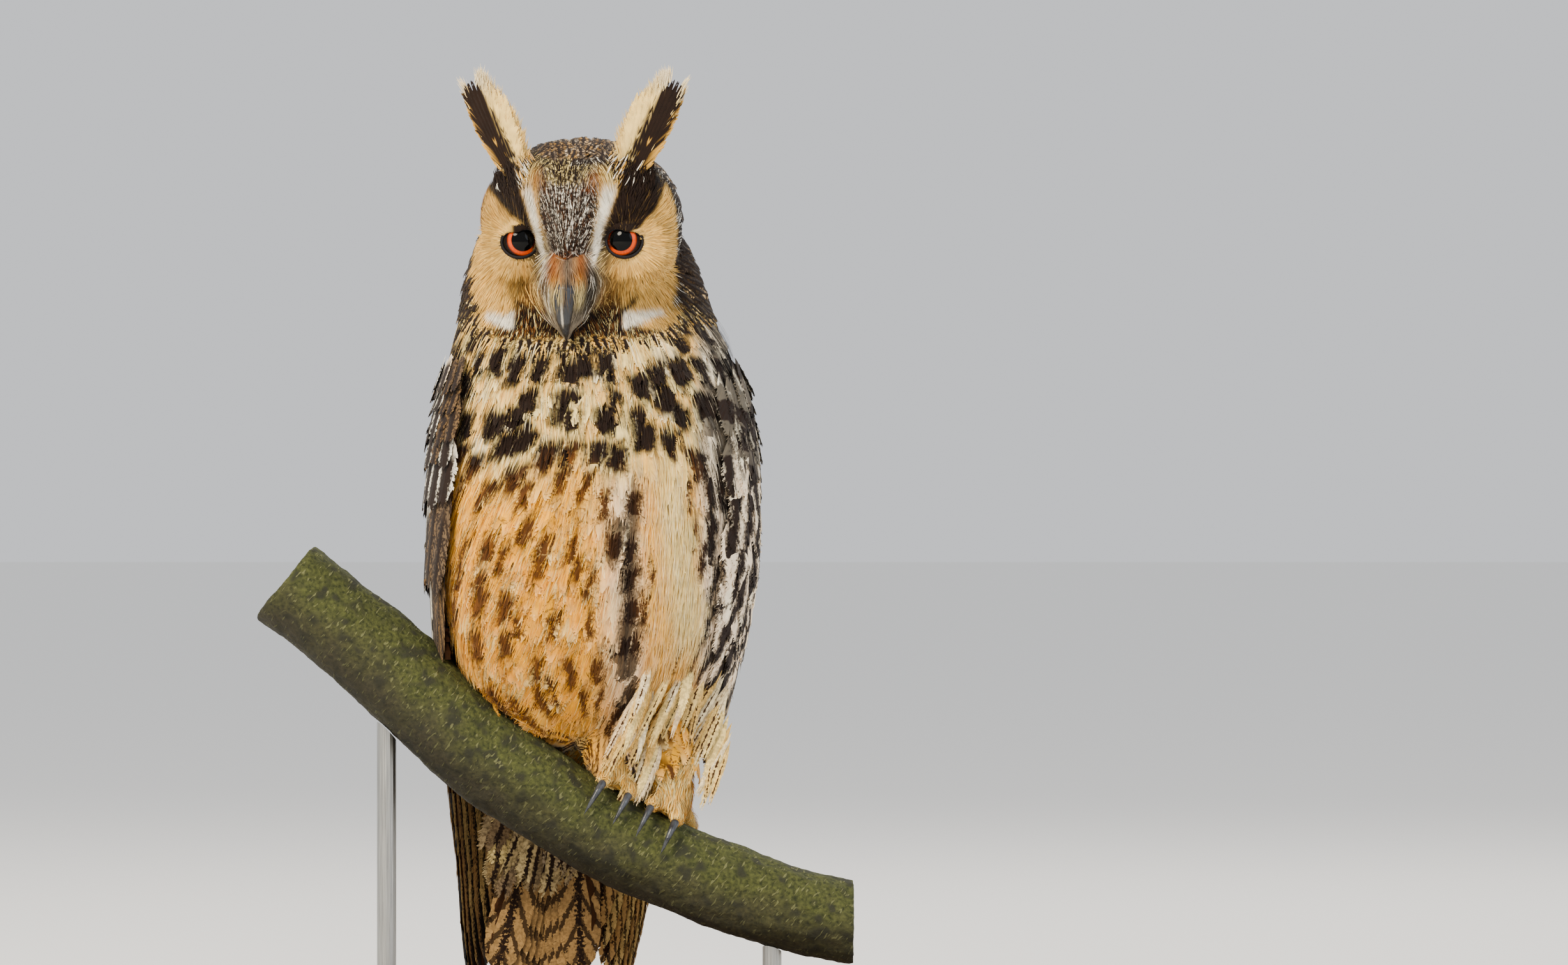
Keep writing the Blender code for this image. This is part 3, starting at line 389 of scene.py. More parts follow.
def walnutMaterial():  # oiled walnut: long dark grain with fine pores
    material, tree, shader = newMaterial("oiledWalnut", 0.45, 0.4)
    where = addNode(tree, "TexCoord", output="Object")
    long = addNode(tree, "Mapping", {"Vector": where, "Scale": (0.12, 1, 1)})
    grain = addNode(tree, "TexNoise", {"Vector": long, "Scale": 1 / (9 * mm), "Detail": 5.0})
    pores = addNode(tree, "TexNoise", {"Vector": long, "Scale": 1 / (0.9 * mm), "Detail": 3.0})
    share = addNode(tree, "MapRange", (grain, 0.3, 0.7, 0.0, 1.0))
    colour = addNode(tree, "Mix", {0: share, 6: linear("#4a2f1d"), 7: linear("#7d573a")}, 2, data_type="RGBA")
    share = addNode(tree, "MapRange", (pores, 0.58, 0.7, 0.0, 0.6))
    colour = addNode(tree, "Mix", {0: share, 6: colour, 7: linear("#2b1a10")}, 2, data_type="RGBA")
    tree.links.new(colour, shader.inputs["Base Color"])
    tree.links.new(addNode(tree, "MapRange", (pores, 0.3, 0.7, 0.38, 0.6)), shader.inputs["Roughness"])
    raised = addNode(tree, "Bump", {"Height": pores, "Distance": 0.08 * mm})
    tree.links.new(raised, shader.inputs["Normal"])
    return material


def steelMaterial():  # drawn steel, brushed along its length
    material, tree, shader = newMaterial("drawnSteel", 0.32, 0.5, 1.0)
    where = addNode(tree, "TexCoord", output="Object")
    long = addNode(tree, "Mapping", {"Vector": where, "Scale": (1, 1, 0.02)})
    lines = addNode(tree, "TexNoise", {"Vector": long, "Scale": 1 / (0.4 * mm), "Detail": 3.0})
    share = addNode(tree, "MapRange", (lines, 0.3, 0.7, 0.0, 1.0))
    colour = addNode(tree, "Mix", {0: share, 6: linear("#8d8d8b"), 7: linear("#b4b4b0")}, 2, data_type="RGBA")
    tree.links.new(colour, shader.inputs["Base Color"])
    tree.links.new(addNode(tree, "MapRange", (lines, 0.3, 0.7, 0.26, 0.42)), shader.inputs["Roughness"])
    raised = addNode(tree, "Bump", {"Height": lines, "Distance": 0.02 * mm})
    tree.links.new(raised, shader.inputs["Normal"])
    return material


# Where things are on the owl, as in the CAD

owl = {
    "bodyYaw": math.radians(10),
    "headCentre": np.array((-4.8, -6, 355)) * mm,
    "headYaw": math.radians(-9),
    "headPitch": math.radians(20),
    "eye": np.array((21.8, -23.5, 0.5)),
    "eyeRadius": 9.0,
    "squareness": 2.2,
}
headTurn = np.array(Matrix.Rotation(owl["headYaw"], 3, "Z") @ Matrix.Rotation(owl["headPitch"], 3, "X"))
bodyTurn = np.array(Matrix.Rotation(owl["bodyYaw"], 3, "Z"))

# Sections of the folded wings: height, half width, front, back and middle
folded = np.array([
    (306, 58, -38, 48.5, -1), (285, 61.5, -49, 52.5, 0), (262, 64.5, -55, 55.5, 0), (235, 65.5, -56, 59, 0),
    (208, 65, -52, 61, 0), (184, 62, -42, 62, -0.5), (158, 58, -20, 64, -1), (130, 53, 14, 66, -3),
    (100, 42, 36, 69, -7), (65, 37, 46, 72, -9), (25, 31, 52, 75, -10),
])


def fromHead(points):  # from places in the level head, in millimetres
    return owl["headCentre"] + np.asarray(points) * mm @ headTurn.T


def toHead(points):
    return (points - owl["headCentre"]) @ headTurn / mm


def toBody(points):
    return points @ bodyTurn


def foldedRow(height):  # half width, front, back and middle of the folded wings at heights in millimetres
    return [np.interp(-height, -folded[:, 0], folded[:, k]) for k in range(1, 5)]


def foldedPoint(height, angle, lift):
    half, front, back, middle = foldedRow(height)
    power = 2 / owl["squareness"]
    sine, cosine = np.sin(angle), np.cos(angle)
    x = middle + (half + lift) * np.sign(sine) * np.abs(sine) ** power
    y = (front + back) / 2 - ((back - front) / 2 + lift) * np.sign(cosine) * np.abs(cosine) ** power
    return np.stack(np.broadcast_arrays(x, y, height), axis=-1) * mm @ bodyTurn.T


# Feathers: centre lines first, then vanes or strands along them

lineSteps = 6


def layOnSkin(tree, roots, lies, lengths, lifts):  # centre lines that follow the skin and rise towards the tip
    count = len(roots)
    line = np.empty((count, lineSteps + 1, 3))
    normal = np.empty((count, lineSteps + 1, 3))
    for i in range(count):
        place = Vector(roots[i])
        way = Vector(lies[i])
        step = float(lengths[i]) / lineSteps
        for k in range(lineSteps + 1):
            near, out, _, _ = tree.find_nearest(place)
            way = (way - out * way.dot(out)).normalized()
            line[i, k] = near
            normal[i, k] = out
            place = near + way * step
    rise = np.linspace(0, 1, lineSteps + 1)
    return line + normal * (lifts[:, None] * (0.08 + 0.92 * rise**0.8))[..., None], normal


def along(values, t):  # values (N, steps + 1, 3) read at each t of an array
    at = np.clip(t, 0, 1) * lineSteps
    low = np.minimum(at.astype(int), lineSteps - 1)
    share = (at - low)[..., None]
    return values[:, low] * (1 - share) + values[:, low + 1] * share


outlines = {
    "contour": ((0, 0.15, 0.4, 0.7, 0.88, 1.0), (0.35, 0.7, 0.95, 1.0, 0.72, 0.12)),
    "flight": ((0, 0.1, 0.3, 0.8, 0.93, 1.0), (0.5, 0.85, 1.0, 0.95, 0.68, 0.08)),
    "pointed": ((0, 0.15, 0.4, 0.7, 0.9, 1.0), (0.4, 0.8, 1.0, 0.75, 0.38, 0.05)),
}


def meshFromArrays(name, points, quads, triangles):
    mesh = bpy.data.meshes.new(name)
    mesh.vertices.add(len(points))
    mesh.vertices.foreach_set("co", points.ravel())
    corners = np.concatenate((quads.ravel(), triangles.ravel())).astype(np.int32)
    sizes = np.concatenate((np.full(len(quads), 4), np.full(len(triangles), 3)))
    starts = np.concatenate(([0], np.cumsum(sizes)[:-1])).astype(np.int32)
    mesh.loops.add(len(corners))
    mesh.loops.foreach_set("vertex_index", corners)
    mesh.polygons.add(len(sizes))
    mesh.polygons.foreach_set("loop_start", starts)
    mesh.update(calc_edges=True)
    mesh.validate()
    obj = bpy.data.objects.new(name, mesh)
    bpy.context.scene.collection.objects.link(obj)
    return obj


def unwrapPlace(roots):  # a root's place on a map wrapped round the owl's own height and breadth
    body = toBody(roots)
    turn = np.arctan2(body[:, 0], -body[:, 1]) / math.tau + 0.5
    return np.stack((0.02 + 0.95 * turn, 0.02 + 0.95 * np.clip(body[:, 2] / 0.42, 0, 1)), axis=1)


def dress(obj, uv, looks, roots, copies):  # the vane, spot and bake maps and the colour attributes of a piece
    mesh = obj.data
    corners = np.empty(len(mesh.loops), dtype=np.int32)
    mesh.loops.foreach_get("vertex_index", corners)
    patch = np.repeat(unwrapPlace(roots), copies, axis=0) + (uv - (0.5, 0)) * 0.003
    looks = {key: value if len(value) == len(uv) else np.repeat(value, copies, axis=0) for key, value in looks.items()}
    maps = {"vane": uv, "OFBake": np.clip(patch, 0.001, 0.999)}
    if "spot" in looks:
        maps["spot"] = looks["spot"]
    for name, places in maps.items():
        mesh.uv_layers.new(name=name).data.foreach_set("uv", places[corners].ravel())
    for key in ("tint", "ink"):
        mesh.attributes.new(key, "FLOAT_COLOR", "POINT").data.foreach_set("color", looks[key].ravel())
    mesh.attributes.new("mark", "FLOAT_VECTOR", "POINT").data.foreach_set("vector", looks["mark"].ravel())


def vanePiece(name, line, normal, widths, looks, barbs=9, outline="contour", sweep=0.16, cup=0.25, fray=1.0,
              gap=0.25, closed=0.75):
    count = len(line)
    steps = np.arange(barbs + 1) / barbs * (1 - 0.75 * sweep)
    shaft = along(line, steps)
    midT = steps + closed * sweep * (1 - 0.5 * steps)
    edgeT = np.minimum(steps + sweep * (1 - 0.5 * steps), 1.0)
    middle, middleUp = along(line, midT), along(normal, midT)
    edge, edgeUp = along(line, edgeT), along(normal, edgeT)
    ahead = unit(np.gradient(shaft, axis=1))
    side = unit(np.cross(ahead, along(normal, steps)))
    wideAt = np.interp(edgeT, *outlines[outline])
    loose = rng.normal(size=(count, 2, barbs, 3)) * fray * 0.035
    points = np.empty((count, 2, barbs, 6, 3))
    uv = np.empty((count, 2, barbs, 6, 2))
    wide = widths[:, None]
    for s, sign in enumerate((-1, 1)):
        for j in range(barbs):
            for slot, station in ((0, j), (1, j + 1)):
                points[:, s, j, slot] = shaft[:, station]
                uv[:, s, j, slot] = (0.5, steps[station])
                out = side[:, station] * (sign * closed * wideAt[station] * wide)
                drop = middleUp[:, station] * (cup * closed**2 * wideAt[station] * wide)
                points[:, s, j, 3 - slot] = middle[:, station] + out - drop
                uv[:, s, j, 3 - slot] = (0.5 + 0.5 * closed * sign * wideAt[station], midT[station])
            for slot, station, share in ((5, j, 0.0), (4, j + 1, gap)):
                reach = wideAt[station] * (1 - share) + wideAt[station - 1] * share
                place = edge[:, station] * (1 - share) + edge[:, station - 1] * share
                out = side[:, station] * (sign * reach * (1 + loose[:, s, j, :1] * 2) * wide)
                lift = edgeUp[:, station] * ((loose[:, s, j, 1:2] * 1.5 - cup * reach) * wide)
                slide = ahead[:, station] * (loose[:, s, j, 2:] * 2 * wide)
                points[:, s, j, slot] = place + out + lift + slide
                uv[:, s, j, slot] = (0.5 + 0.5 * sign * wideAt[station], edgeT[station])
    base = np.arange(count * 2 * barbs)[:, None] * 6
    left = np.tile(np.repeat((True, False), barbs), count)[:, None]
    inner = np.where(left, np.array((0, 1, 2, 3)), np.array((0, 3, 2, 1))) + base
    outer = np.where(left, np.array((3, 2, 4, 5)), np.array((3, 5, 4, 2))) + base
    obj = meshFromArrays(name, points.reshape(-1, 3), np.concatenate((inner, outer)), np.empty((0, 3), dtype=int))
    if callable(looks):  # looks by place, each feather's marks a little out of line with the next feather's
        shift = rng.normal(size=(count, 1, 1, 1, 3)) * 0.8 * mm
        looks = looks((points + shift).reshape(-1, 3), np.repeat(rng.random((count, 3)), 12 * barbs, axis=0))
    dress(obj, uv.reshape(-1, 2), looks, line[:, 0], 12 * barbs)
    return obj


def strandPiece(name, line, normal, widths, looksAt, stations=(0, 0.35, 0.7), fold=0.35, settle=0.4):
    # looksAt gives the colours at places; settle says how far a point is coloured by its own place, not its root's
    count, rows = len(line), len(stations)
    t = np.array(stations)
    place, up = along(line, t), along(normal, t)
    ahead = unit(line[:, -1] - line[:, 0])[:, None]
    side = unit(np.cross(np.repeat(ahead, rows, axis=1), up))
    wide = widths[:, None] * (1 - 0.55 * t) ** 0.8
    points = np.empty((count, rows * 2 + 1, 3))
    points[:, 0:rows * 2:2] = place - side * wide[..., None]
    points[:, 1:rows * 2:2] = place + side * wide[..., None] + up * (fold * wide)[..., None]
    points[:, -1] = line[:, -1]
    uv = np.empty((count, rows * 2 + 1, 2))
    uv[:, 0:rows * 2:2, 0], uv[:, 1:rows * 2:2, 0] = 0.25, 0.75
    uv[:, 0:rows * 2:2, 1] = uv[:, 1:rows * 2:2, 1] = t
    uv[:, -1] = (0.5, 1)
    base = np.arange(count)[:, None] * (rows * 2 + 1)
    quads = np.concatenate([base + np.array((2 * r, 2 * r + 1, 2 * r + 3, 2 * r + 2)) for r in range(rows - 1)])
    ends = base + np.array((2 * rows - 2, 2 * rows - 1, 2 * rows))
    obj = meshFromArrays(name, points.reshape(-1, 3), quads, ends)
    roots = np.repeat(line[:, :1], rows * 2 + 1, axis=1).reshape(-1, 3)
    chance = np.repeat(rng.random((count, 3)), rows * 2 + 1, axis=0)
    looks = looksAt(roots + (points.reshape(-1, 3) - roots) * settle, chance)
    dress(obj, uv.reshape(-1, 2), looks, line[:, 0], rows * 2 + 1)
    return obj


def scatter(obj, spacingOf, spacing):  # roots spread over a mesh, spacing apart times spacingOf, with their normals
    mesh = obj.data
    mesh.calc_loop_triangles()
    corners = np.empty(len(mesh.loop_triangles) * 3, dtype=np.int32)
    mesh.loop_triangles.foreach_get("vertices", corners)
    a, b, c = pointsOf(obj)[corners.reshape(-1, 3)].transpose(1, 0, 2)
    area = np.linalg.norm(np.cross(b - a, c - a), axis=1) / 2
    middle = (a + b + c) / 3
    near = spacingOf(middle)
    weight = np.where(near > 0, area / np.maximum(near * spacing, 1e-9) ** 2, 0)
    tries = int(weight.sum() * 3.5)
    pick = rng.choice(len(area), tries, p=weight / weight.sum())
    u, v = rng.random((2, tries, 1))
    flip = u + v > 1
    u, v = np.where(flip, 1 - u, u), np.where(flip, 1 - v, v)
    places = a[pick] + (b - a)[pick] * u + (c - a)[pick] * v
    reach = spacing * near[pick] * 0.8
    cell = reach.max()
    taken, kept = {}, []
    cells = np.floor(places / cell).astype(int)
    for i in range(tries):
        x, y, z = cells[i]
        clear = True
        for key in ((x + dx, y + dy, z + dz) for dx in (-1, 0, 1) for dy in (-1, 0, 1) for dz in (-1, 0, 1)):
            for k in taken.get(key, ()):
                if np.dot(places[i] - places[k], places[i] - places[k]) < reach[i] * reach[i]:
                    clear = False
                    break
            if not clear:
                break
        if clear:
            taken.setdefault((x, y, z), []).append(i)
            kept.append(i)
    return places[kept]


# Skin

skinSizes = {
    "voxel": 1.7 * mm,
    "swell": 0.35 * mm,
    "bodyDepth": 4.2 * mm,
    "headDepth": 2.6 * mm,
    "faceDepth": 1.5 * mm,
    "footDepth": 0.9 * mm,
    "smoothing": 5,
    "eyeHollow": 7.5 * mm,
    "eyeReach": 12.0 * mm,
}
fleshNodes = ("head", "neck", "torso", "leg_right", "leg_left", "foot_right", "foot_left")


def makeSkin():
    obj = copyOfNodes("skin", fleshNodes)
    movePoints(obj, pointsOf(obj) + normalsOf(obj) * skinSizes["swell"])
    useModifier(obj, "REMESH", mode="VOXEL", voxel_size=skinSizes["voxel"])
    useModifier(obj, "SMOOTH", factor=0.5, iterations=skinSizes["smoothing"])
    points = pointsOf(obj)
    level = toHead(points)
    head = fade(318 * mm, 335 * mm, points[:, 2])
    face = fade(-6, -18, level[:, 1]) * fade(-40, -30, level[:, 2]) * head
    foot = fade(152 * mm, 146 * mm, points[:, 2]) * fade(26 * mm, 20 * mm, points[:, 1])
    depth = skinSizes["bodyDepth"] + (skinSizes["headDepth"] - skinSizes["bodyDepth"]) * head
    depth = depth + (skinSizes["faceDepth"] - depth) * face
    depth = depth + (skinSizes["footDepth"] - depth) * foot
    points = points - normalsOf(obj) * depth[:, None]
    for side in (-1, 1):  # no skin shows in front of an eyeball
        centre = fromHead((side * owl["eye"][0], owl["eye"][1], owl["eye"][2]))
        offset = points - centre
        far = np.linalg.norm(offset, axis=1)
        near = (far < skinSizes["eyeReach"]) & (offset[:, 1] < 6 * mm)
        past = np.maximum(far[near] - skinSizes["eyeHollow"], 0)
        sunk = np.minimum(far[near], skinSizes["eyeHollow"])
        sunk = sunk + past**2 / (skinSizes["eyeReach"] - skinSizes["eyeHollow"])
        points[near] = centre + offset[near] * (sunk / far[near])[:, None]
    movePoints(obj, points)
    return obj


def treeOf(obj):
    return BVHTree.FromObject(obj, bpy.context.evaluated_depsgraph_get())


# Colours and marks of the plumage by place, in millimetres as seen from the front

dye = {key: linear(code) for key, code in {
    "cream": "#f2d88c", "buff": "#e8ae48", "gold": "#f6ae14", "orange": "#e0921c", "white": "#f8f1df",
    "grey": "#a8997c", "brown": "#412712", "dark": "#1d1008", "black": "#0d0805", "rust": "#90450c",
    "silk": "#fae190", "ash": "#8a7d68", "umber": "#744514",
}.items()}
eyeSpots = {-1: (-29.7, 347.3), 1: (13.0, 346.8)}  # across and up, as seen from the front
billRoot = (-10.5, 338.0)


def looksOf(tint, ink, streak, bars, mottle, barCount=4.0):
    count = len(tint)
    tint, ink = tint.copy(), ink.copy()
    tint[:, 3] = 1
    ink[:, 3] = barCount / 16
    mark = np.stack([np.broadcast_to(np.asarray(v, dtype=float), count) for v in (streak, bars, mottle)], axis=1)
    return {"tint": tint, "ink": ink, "mark": mark}


def vary(tint, amount, chance=None):  # each feather a little lighter or darker than the next
    chance = rng.random(len(tint)) if chance is None else chance
    return np.clip(tint * (1 + (chance[:, None] - 0.5) * 3.4 * amount), 0.001, 1)


spots = {"across": 10.0, "along": 17.0, "slant": 0.5, "from": 268.0, "rightEdge": 30.0, "leftEdge": -40.0, "radius": 58.0}


def slantOf(x):  # feathers on the owl's right of the belly lie outwards, on its left straight down
    return spots["slant"] * np.clip((spots["rightEdge"] - x) / (spots["rightEdge"] - spots["leftEdge"]), 0, 1)


def spotPlace(p):  # the body unrolled, with its columns straightened where the feathers slant, one cell to a mark
    body = toBody(p) / mm
    across = np.arctan2(body[:, 0], -body[:, 1]) * spots["radius"]
    drop = np.maximum(spots["from"] - body[:, 2], 0) * spots["slant"]
    reach = spots["rightEdge"] - spots["leftEdge"]
    fanned = (across + drop * spots["rightEdge"] / reach) / (1 + drop / reach)
    straight = np.where(across > spots["rightEdge"], across, np.maximum(fanned, across + drop))
    straight = np.where(fanned < spots["leftEdge"], across + drop, np.where(across > spots["rightEdge"], across, fanned))
    return np.stack((straight / spots["across"], body[:, 2] / spots["along"]), axis=1)


def silkShare(p):
    x, y, z = p.T / mm
    ragged = 1.5 * np.sin(z / 5) + 1.2 * np.sin(z / 2.3 + x)
    edges = fade(21, 26, x + ragged) * fade(45, 39, x - ragged + 0.1 * (z - 230))
    return edges * fade(165, 188, z + 1.2 * (38 - x) * (x < 38)) * fade(268, 256, z + ragged)


def bodyLooks(p, chance):
    x, y, z = p.T / mm
    body = toBody(p) / mm
    turn = np.degrees(np.arctan2(body[:, 0], -body[:, 1]))
    every = np.ones((len(p), 1))
    tint = blend(dye["cream"] * every, dye["buff"], 0.65 * (chance[:, 0] < 0.5))
    tint = blend(tint, dye["white"], 0.4 * (chance[:, 0] > 0.85))
    ink = dye["dark"] * every
    low = fade(262, 242, z + 14 * (chance[:, 2] - 0.5) + 4 * np.sin(x / 7))
    left = fade(14, -30, x)
    belly = blend(dye["buff"] * every, dye["gold"], fade(0.1, 0.6, chance[:, 1]))
    belly = blend(belly, dye["orange"], 0.75 * (0.25 + 0.75 * left) * fade(245, 200, z) * fade(0.1, 0.7, chance[:, 2]))
    belly = blend(belly, dye["cream"], 0.6 * (chance[:, 0] < 0.15))
    tint = blend(tint, belly, low)
    ink = blend(ink, dye["umber"], (0.35 + 0.5 * chance[:, 0]) * low)
    flank = fade(40, 48, x) * fade(118, 140, z)
    tint = blend(tint, dye["white"], 0.7 * flank)
    column = low * hill(x, 14, 8.5) * fade(264, 246, z)
    tint = blend(tint, dye["white"], 0.5 * column)
    ink = blend(ink, dye["dark"], np.maximum(flank, column))
    neck = fade(285, 300, z)
    bold = np.where(chance[:, 1] < 0.1, 0.6, 1.2) - 0.1 * neck
    silk = silkShare(p)
    tint = blend(tint, blend(dye["silk"] * every, dye["gold"], 0.12 + 0.6 * fade(36, 26, x + 0.12 * (z - 210))), silk)
    streak = bold * (1 - low) + low * (0.30 + 0.08 * left) + 0.30 * flank * low + 0.34 * column
    streak = streak * (1 - silk)
    bars = (0.3 + 0.18 * flank + 0.18 * column) * low * (1 - silk)
    joined = np.clip(0.9 * flank + 0.6 * column + 0.35 * low, 0, 1) * (1 - silk)
    back = fade(88, 104, np.abs(turn))
    ink = blend(ink, dye["dark"], back)
    mantle = blend(dye["buff"] * every, dye["grey"], 0.35 + 0.6 * chance[:, 1])
    tint = blend(tint, blend(mantle, dye["brown"], 0.3), back)
    streak = streak + (0.42 - streak) * back
    bars = bars * (1 - back) + 0.35 * back
    looks = looksOf(vary(tint, 0.05, chance[:, 2]), ink, streak, bars, joined * (1 - back) + 0.85 * back, 4.0)
    looks["spot"] = spotPlace(p)
    return looks


def headDirection(p):  # the way feathers point on the head
    x, y, z = p.T / mm
    level = toHead(p)
    sided = np.sign(level[:, 0])
    middle = np.abs(level[:, 0])
    nil, one = np.zeros_like(x), np.ones_like(x)
    ex = np.where(level[:, 0] > 0, eyeSpots[1][0], eyeSpots[-1][0])
    ez = np.where(level[:, 0] > 0, eyeSpots[1][1], eyeSpots[-1][1])
    radial = unit(np.stack((x - ex, nil, z - ez), axis=1))
    radial = unit(radial + np.array((0, 0, -0.18)))
    upward = unit(np.stack((0.30 * sided * fade(0, 10, middle), 0.2 * one, one), axis=1))
    downward = unit(np.stack(((x - billRoot[0]) * 1.1, -6 * one, z - billRoot[1] - 16), axis=1))
    brow = fade(15, 10, middle) * fade(336, 342, z)
    mouth = fade(16, 9, middle) * fade(342, 336, z)
    face = unit(blend(radial, upward, brow))
    face = unit(blend(face, downward, mouth))
    back = unit(np.stack((0.25 * sided * fade(0, 20, middle), 0.75 * one, -0.35 - 0.65 * fade(0, 25, level[:, 1])), 1))
    return unit(blend(face, back, fade(-8, 4, level[:, 1])))


def faceLooks(p, chance):
    x, y, z = p.T / mm
    level = toHead(p)
    count = len(p)
    every = np.ones((count, 1))
    right = level[:, 0] > 0
    ex = np.where(right, eyeSpots[1][0], eyeSpots[-1][0])
    ez = np.where(right, eyeSpots[1][1], eyeSpots[-1][1])
    far = np.hypot(x - ex, z - ez)
    mid = np.abs(x + 9.5)
    tint = blend(dye["buff"] * every, dye["cream"], 0.05 + 0.4 * chance[:, 0])
    tint = blend(tint, dye["umber"], 0.45 * hill(far, 15, 6) * (chance[:, 1] > 0.6))
    tint = blend(tint, dye["umber"], 0.5 * (chance[:, 1] < 0.08))
    tint = blend(tint, dye["cream"], 0.2 * fade(12, 8.5, far))
    shaded = hill(mid, 17 + 0.25 * np.maximum(z - 330, 0), 6) * fade(350, 338, z)
    tint = blend(tint, dye["umber"], 0.55 * shaded * (chance[:, 1] < 0.7))
    ink = dye["dark"] * every
    # grey and blackish bristles between each eye and the bill
    inner = fade(19, 9, mid - 0.1 * (z - 340)) * fade(352, 342, z) * fade(304, 312, z)
    tint = blend(tint, blend(dye["ash"] * every, dye["dark"], fade(0.2, 0.9, chance[:, 0])), inner)
    tint = blend(tint, dye["cream"], 0.6 * inner * (chance[:, 1] > 0.7))
    # painted shade in the hollow at each eye's inner corner, towards the bill
    shade = hill(x, np.where(right, 5.0, -23.0), 3.4) * hill(z, 341, 8)
    tint = blend(tint, dye["black"], 0.85 * shade * (chance[:, 1] < 0.85))
    # brown and rust below the inner eye
    below = np.clip(1.6 * hill(mid, 16.5, 5.5) * hill(z, 321, 9), 0, 1) * (chance[:, 1] < 0.75)
    tint = blend(tint, blend(dye["umber"] * every, dye["dark"], chance[:, 2]), 0.8 * below)
    # the ruff under the bill and cheeks, mottled brown, rust and white
    ruff = fade(323, 318, z - 0.28 * np.maximum(mid - 10, 0)) * fade(33, 26, mid + 0.8 * (z - 312))
    fleck = blend(blend(dye["dark"] * every, dye["umber"], fade(0.7, 0.8, chance[:, 0])), dye["cream"],
                  fade(0.84, 0.9, chance[:, 1]))
    tint = blend(tint, fleck, ruff)
    tint = blend(tint, dye["white"], hill(x, -7.5, 4) * hill(z, 305.5, 2.5))
    # lower white corners of the disc, with the dark edge of the ruff under them
    tint = blend(tint, fleck, fade(313, 311, z))
    lowRight = 311.5 + 0.45 * np.maximum(x - 14, 0)
    lowLeft = 311.5 + 0.6 * np.maximum(-36 - x, 0)
    highRight, highLeft = lowRight + 8.5 - 0.38 * (x - 12), lowLeft + 8.0 + 0.4 * (x + 32)
    cornerRight = fade(11.5, 13.5, x) * fade(30, 27, x) * fade(lowRight, lowRight + 1, z) * fade(highRight + 1, highRight - 1, z)
    cornerLeft = fade(-31, -33.5, x) * fade(-45, -42, x) * fade(lowLeft, lowLeft + 1, z) * fade(highLeft + 1, highLeft - 1, z)
    tint = blend(tint, dye["white"], np.maximum(cornerRight, cornerLeft))
    # the gape: a dark line from the bill's sides up to the cheeks
    gapeRight = hill(z, 324.6 - (17.9 - x) * 0.89, 1.5) * fade(1, 4, x) * fade(20, 17, x)
    gapeLeft = hill(z, 324.6 - (x + 32.7) * 0.86, 1.5) * fade(-35, -31, x) * fade(-14, -17, x)
    tint = blend(tint, dye["dark"], np.clip(1.2 * np.maximum(gapeRight, gapeLeft), 0, 1) * (chance[:, 1] < 0.9))
    # black-brown patches over the eyes, drawn down to their inner corners
    rise = np.clip((z - 336) / 31, 0, 1)
    edgeRight = -1.2 + 8.8 * rise + 0.7 + 2.6 * rise
    edgeLeft = -18.4 - 8.6 * rise - 0.7 - 1.8 * rise
    outRight = np.interp(z, (341, 346, 350, 353, 361, 371, 377), (2.5, 4.8, 9, 20, 26, 29.5, 24))
    outLeft = np.interp(z, (341, 346, 350, 354.5, 359.5, 367.8, 376), (-21.5, -23.3, -25.4, -28.5, -35, -42.5, -42.5))
    overRight = fade(edgeRight - 1, edgeRight + 1, x) * fade(outRight + 1.8, outRight - 0.6, x) * fade(380, 374, z)
    overLeft = fade(edgeLeft + 1, edgeLeft - 1, x) * fade(outLeft - 1.8, outLeft + 0.6, x) * fade(382, 377, z)
    patch = np.where(right, overRight, overLeft) * fade(340, 343, z)
    tint = blend(tint, dye["dark"], patch * (0.9 + 0.1 * (chance[:, 1] < 0.85)))
    # forehead: dark, finely speckled, rusty at its lower end, with a rusty spot each side above
    half = 6.5 + 5.5 * fade(338, 362, z)
    forehead = fade(half + 2, half - 1, mid) * fade(336.5, 339, z)
    tint = blend(tint, blend(dye["brown"] * every, dye["white"], fade(0.5, 0.85, chance[:, 1])), forehead)
    tint = blend(tint, dye["rust"], 0.9 * hill(z, 337.5, 3) * fade(11, 7, mid))
    spots = np.maximum(hill(x, 1, 5) * hill(z, 371, 5), hill(x, -22.5, 4.5) * hill(z, 371.5, 4.5))
    tint = blend(tint, dye["rust"], 0.75 * spots)
    mottle = forehead * (0.95 - 0.5 * spots) * fade(334, 340, z)
    # white brows
    ragged = 0.5 * (chance[:, 2] - 0.5)
    browRight = fade(1.5 + 2.2 * rise, 0.3 + 1.3 * rise, np.abs(x - (-1.2 + 8.8 * rise)) + ragged)
    browLeft = fade(1.4 + 1.5 * rise, 0.2 + 0.9 * rise, np.abs(x - (-18.4 - 8.6 * rise)) + ragged)
    brows = np.maximum(browRight, browLeft) * fade(332, 336, z) * fade(371, 365, z)
    tint = blend(tint, blend(dye["white"] * every, dye["grey"], 0.35 * chance[:, 0]), brows)
    mottle = mottle * (1 - brows)
    # above the brows the crown's bars begin
    over = fade(367, 372, z) * (1 - patch) * (1 - 0.8 * spots)
    tint = blend(tint, blend(dye["dark"] * every, dye["cream"], fade(0.5, 0.7, chance[:, 0])), over)
    # the disc's dark rim
    rim = 1 - fade(0.45, 0.92, discShare(p))
    tint = blend(tint, blend(dye["dark"] * every, dye["white"], fade(0.8, 0.9, chance[:, 0])), rim * right * fade(318, 324, z))
    return looksOf(vary(tint, 0.07, chance[:, 2]), ink, 0.0, 0.0, mottle)


